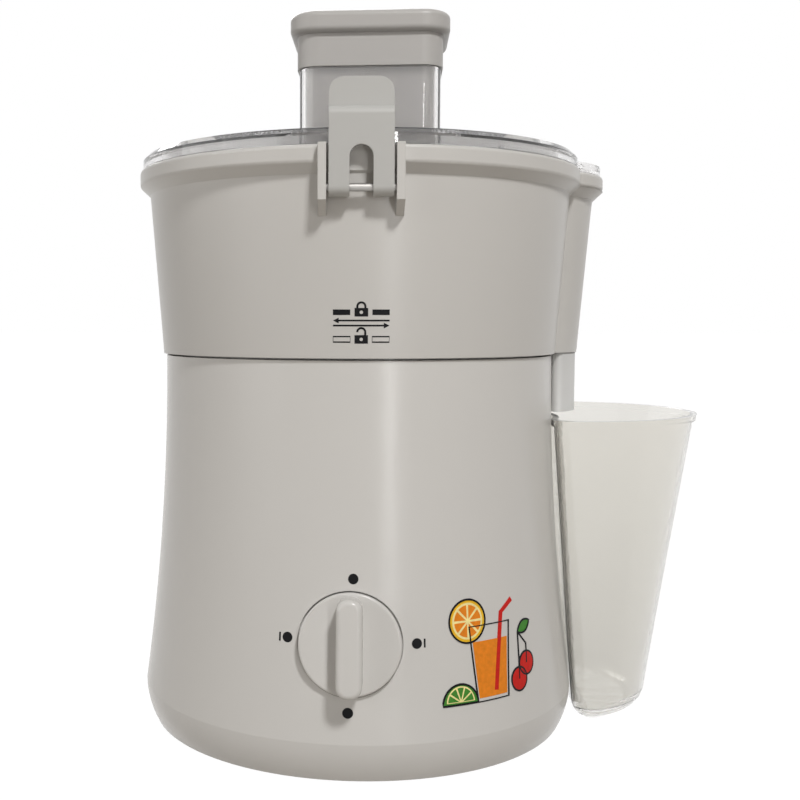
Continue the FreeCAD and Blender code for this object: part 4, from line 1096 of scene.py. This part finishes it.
@dataclass
class BaseUnderside:
    """Screws with cross recesses, and a bare plate, under the base."""

    screw_count: int = 4
    screw_circle: float = 0.084
    plate_height: float = 0.0022
    steps: int = 28
    crown: float = 0.0001
    face_share: float = 0.9
    head_edge: float = 0.0004
    head_radius: float = 0.0036
    head_height: float = 0.0016
    shank_radius: float = 0.0017
    shank_top: float = 0.0156
    tip_height: float = 0.001
    tip_share: float = 0.3
    recess_arm: float = 0.0021
    recess_width: float = 0.0009
    recess_depth: float = 0.0011
    recess_taper: float = 0.6
    label_width: float = 0.034
    label_depth: float = 0.018
    label_corner: float = 0.002
    label_steps: int = 6
    label_sheet: float = 0.0003

    def cross(self) -> Loop:
        """Outline of the recess, one arm after the other.

        Returns:
            The closed outline.
        """
        reach, half = self.recess_arm, self.recess_width / 2
        arm = [(reach, -half), (reach, half), (half, half)]
        outline = []
        for _ in range(4):
            outline += arm
            arm = [(-y, x) for x, y in arm]
        return outline

    def screw(self) -> Mesh:
        """One screw, head down, with a cross recess.

        Returns:
            The mesh.
        """
        shape = bmesh.new()
        foot = self.plate_height
        neck = foot + self.head_height
        cross = self.cross()
        face = Pen.disc(CENTRE, self.head_radius * self.face_share, self.steps)
        rim, mouth = (ring_at(shape, loop, foot + self.crown) for loop in (face, cross))
        edges = edges_of(shape, rim) + edges_of(shape, mouth)
        bmesh.ops.triangle_fill(shape, use_beauty=True, use_dissolve=False, edges=edges)
        small = [(x * self.recess_taper, y * self.recess_taper) for x, y in cross]
        bottom = ring_at(shape, small, foot + self.recess_depth)
        band(shape, mouth, bottom)
        shape.faces.new(bottom)
        for radius, z in ((self.head_radius, foot + self.head_edge), (self.head_radius, neck),
                          (self.shank_radius, neck), (self.shank_radius, self.shank_top - self.tip_height),
                          (self.shank_radius * self.tip_share, self.shank_top)):
            above = ring_at(shape, Pen.disc(CENTRE, radius, self.steps), z)
            band(shape, rim, above)
            rim = above
        shape.faces.new(rim)
        return mesh_of(shape, "base_screw")

    def tree(self) -> GrowTree:
        """Tree that sets the screws round the drive axis.

        Returns:
            The tree.
        """
        tree = GrowTree("screw_ring", {"Count": self.screw_count, "Radius": self.screw_circle})
        index = tree.out("GeometryNodeInputIndex")
        angle = tree.maths("MULTIPLY", index, tree.maths("DIVIDE", math.tau, tree.given["Count"]))
        tree.scatter(tree.polar(tree.given["Radius"], angle), angle)
        return tree

    def label(self) -> Piece:
        """Bare plate with rounded corners in the middle of the vents.

        Returns:
            The piece.
        """
        shape = bmesh.new()
        corner = self.label_corner
        outline = []
        for turn, (sx, sy) in enumerate(((1, 1), (-1, 1), (-1, -1), (1, -1))):
            centre = (sx * (self.label_width / 2 - corner), sy * (self.label_depth / 2 - corner))
            outline += Pen.arc(centre, corner, turn * 90, turn * 90 + 90, self.label_steps)
        face = shape.faces.new(ring_at(shape, outline, self.plate_height - self.label_sheet))
        grown = bmesh.ops.extrude_face_region(shape, geom=[face], use_keep_orig=True)["geom"]
        for vert in grown:
            if isinstance(vert, bmesh.types.BMVert):
                vert.co.z = self.plate_height
        return new_piece("bare_plate", mesh_of(shape, "bare_plate"), Finishes.PLATE_FILM)

    def build(self) -> None:
        """Make the screws and the plate."""
        screws = self.tree().grow("cross_screws", self.screw(), Finishes.STEEL)
        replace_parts(carried(screws, Body.BASE), "base_screws")
        carried(self.label(), Body.BASE)


@dataclass(frozen=True)
class Lamp:
    """One soft area lamp, aimed at the middle of the juicer."""

    name: str
    place: Tuple[float, float, float]
    size: Tuple[float, float]
    power: float

    def hang(self, target: Vector) -> None:
        """Put the lamp in the scene.

        Args:
            target: Point that it faces.
        """
        data = bpy.data.lights.new(self.name, "AREA")
        data.shape = "RECTANGLE"
        data.size, data.size_y = self.size
        data.energy = self.power
        holder = bpy.data.objects.new(self.name, data)
        bpy.context.scene.collection.objects.link(holder)
        holder.location = self.place
        holder.rotation_euler = (target - holder.location).to_track_quat("-Z", "Y").to_euler()


@dataclass
class Studio:
    """Pale floor, soft light and the camera at the photograph's angle."""

    lens: float = 50.374
    sensor: float = 36.0
    shift: float = 0.1194
    clip: float = 0.01
    eye: Tuple[float, float, float] = (0.01486, -0.54105, 0.18897)
    yaw: float = -0.07496
    pitch: float = 0.07194
    roll: float = 0.00074
    ambient: float = 0.15
    ambient_tint: Colour = (1.0, 0.91, 0.81)
    floor_size: float = 30.0
    floor_colour: Colour = (0.43, 0.395, 0.35)
    floor_glow: float = 1.16
    glow_share: float = 0.86
    middle: float = 0.17
    lamps: Sequence[Lamp] = (
        Lamp("key_light", (0.424, -1.049, 1.301), (0.2, 0.2), 15.8),
        Lamp("left_light", (-1.2, -0.9, 0.5), (0.8, 0.8), 3.0),
        Lamp("side_light", (-1.4, -0.2, 0.6), (0.8, 0.8), 2.4),
        Lamp("streak_light", (0.42, -1.230, 0.26), (0.05, 0.6), 2.3),
        Lamp("back_light", (-0.4, 1.3, 1.1), (0.9, 0.6), 10.0),
    )

    def seen_white(self, plan: NodePlan) -> Socket:
        """Factor that is 1 for rays from the camera and for mirrored or refracted ones.

        Args:
            plan: Tree of a floor or world.

        Returns:
            Value socket.
        """
        path = plan.add("ShaderNodeLightPath").outputs
        first = plan.maths("MAXIMUM", path["Is Camera Ray"], path["Is Glossy Ray"])
        return plan.maths("MAXIMUM", first, path["Is Transmission Ray"])

    def world(self) -> None:
        """White background with an even, weaker light."""
        world = bpy.data.worlds.new("studio_world")
        world.use_nodes = True
        bpy.context.scene.world = world
        nodes = world.node_tree.nodes
        nodes.remove(nodes["Background"])
        plan = NodePlan(world.node_tree)
        tint = (*self.ambient_tint, 1)
        shade = plan.out("ShaderNodeBackground", {"Color": tint, "Strength": self.ambient})
        white = plan.out("ShaderNodeBackground", {"Color": (1, 1, 1, 1)})
        mix = plan.out("ShaderNodeMixShader", {0: self.seen_white(plan), 1: shade, 2: white})
        plan.feed(nodes["World Output"].inputs["Surface"], mix)

    def floor(self) -> None:
        """Large pale floor that keeps a faint shadow."""
        half = self.floor_size / 2
        corners = [(-half, -half, 0), (half, -half, 0), (half, half, 0), (-half, half, 0)]
        mesh = bpy.data.meshes.new("floor")
        mesh.from_pydata(corners, [], [(0, 1, 2, 3)])
        floor = new_piece("floor", mesh)
        material = bpy.data.materials.new("pale_floor")
        material.use_nodes = True
        nodes = material.node_tree.nodes
        nodes.remove(nodes["Principled BSDF"])
        plan = NodePlan(material.node_tree)
        matt = plan.out("ShaderNodeBsdfDiffuse", {"Color": (*self.floor_colour, 1)})
        glow = plan.out("ShaderNodeEmission", {"Strength": self.floor_glow})
        factor = plan.maths("MULTIPLY", self.seen_white(plan), self.glow_share)
        mix = plan.out("ShaderNodeMixShader", {0: factor, 1: matt, 2: glow})
        plan.feed(nodes["Material Output"].inputs["Surface"], mix)
        mesh.materials.append(material)

    def camera(self) -> None:
        """Camera as it stood for the photograph."""
        data = bpy.data.cameras.new("camera")
        data.lens = self.lens
        data.shift_x = self.shift
        data.sensor_width = self.sensor
        data.clip_start = self.clip
        camera = bpy.data.objects.new("camera", data)
        bpy.context.scene.collection.objects.link(camera)
        turn = Matrix.Rotation(-self.yaw, 4, "Z") @ Matrix.Rotation(math.pi / 2 - self.pitch, 4, "X")
        camera.matrix_world = Matrix.Translation(self.eye) @ turn @ Matrix.Rotation(self.roll, 4, "Z")
        bpy.context.scene.camera = camera

    def build(self) -> None:
        """Set up the studio."""
        bpy.context.scene.view_settings.view_transform = "Standard"
        self.world()
        self.floor()
        for lamp in self.lamps:
            lamp.hang(Vector((0, 0, self.middle)))
        self.camera()


def dress_nodes() -> None:
    """Give every carried-over node its finish; steel where none is named."""
    for name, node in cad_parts.items():
        node.data.materials.clear()
        node.data.materials.append(Finishes.get(NODE_FINISHES.get(name, Finishes.STEEL)))
        log.info("%s: finish %s", name, node.data.materials[0].name)


def main() -> None:
    """Build every sub-assembly in order."""
    logging.basicConfig(level=logging.INFO, format="%(name)s: %(message)s")
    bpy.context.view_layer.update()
    Studio().build()
    dress_nodes()
    DialMarks(PrintedArea("base_housing", Body.BASE, azimuth=0.0, height=0.058, radius=0.0972)).build()
    FruitPrint(PrintedArea("base_housing", Body.BASE, azimuth=36.5, height=0.0535, radius=0.0985)).build()
    TwistMarks(PrintedArea("juice_bowl", Body.BOWL, azimuth=2.4, height=0.1875, radius=0.0938)).build()
    StrainerCone().build()
    GraterDisc().build()
    BaseUnderside().build()


if __name__ == "__main__":
    main()
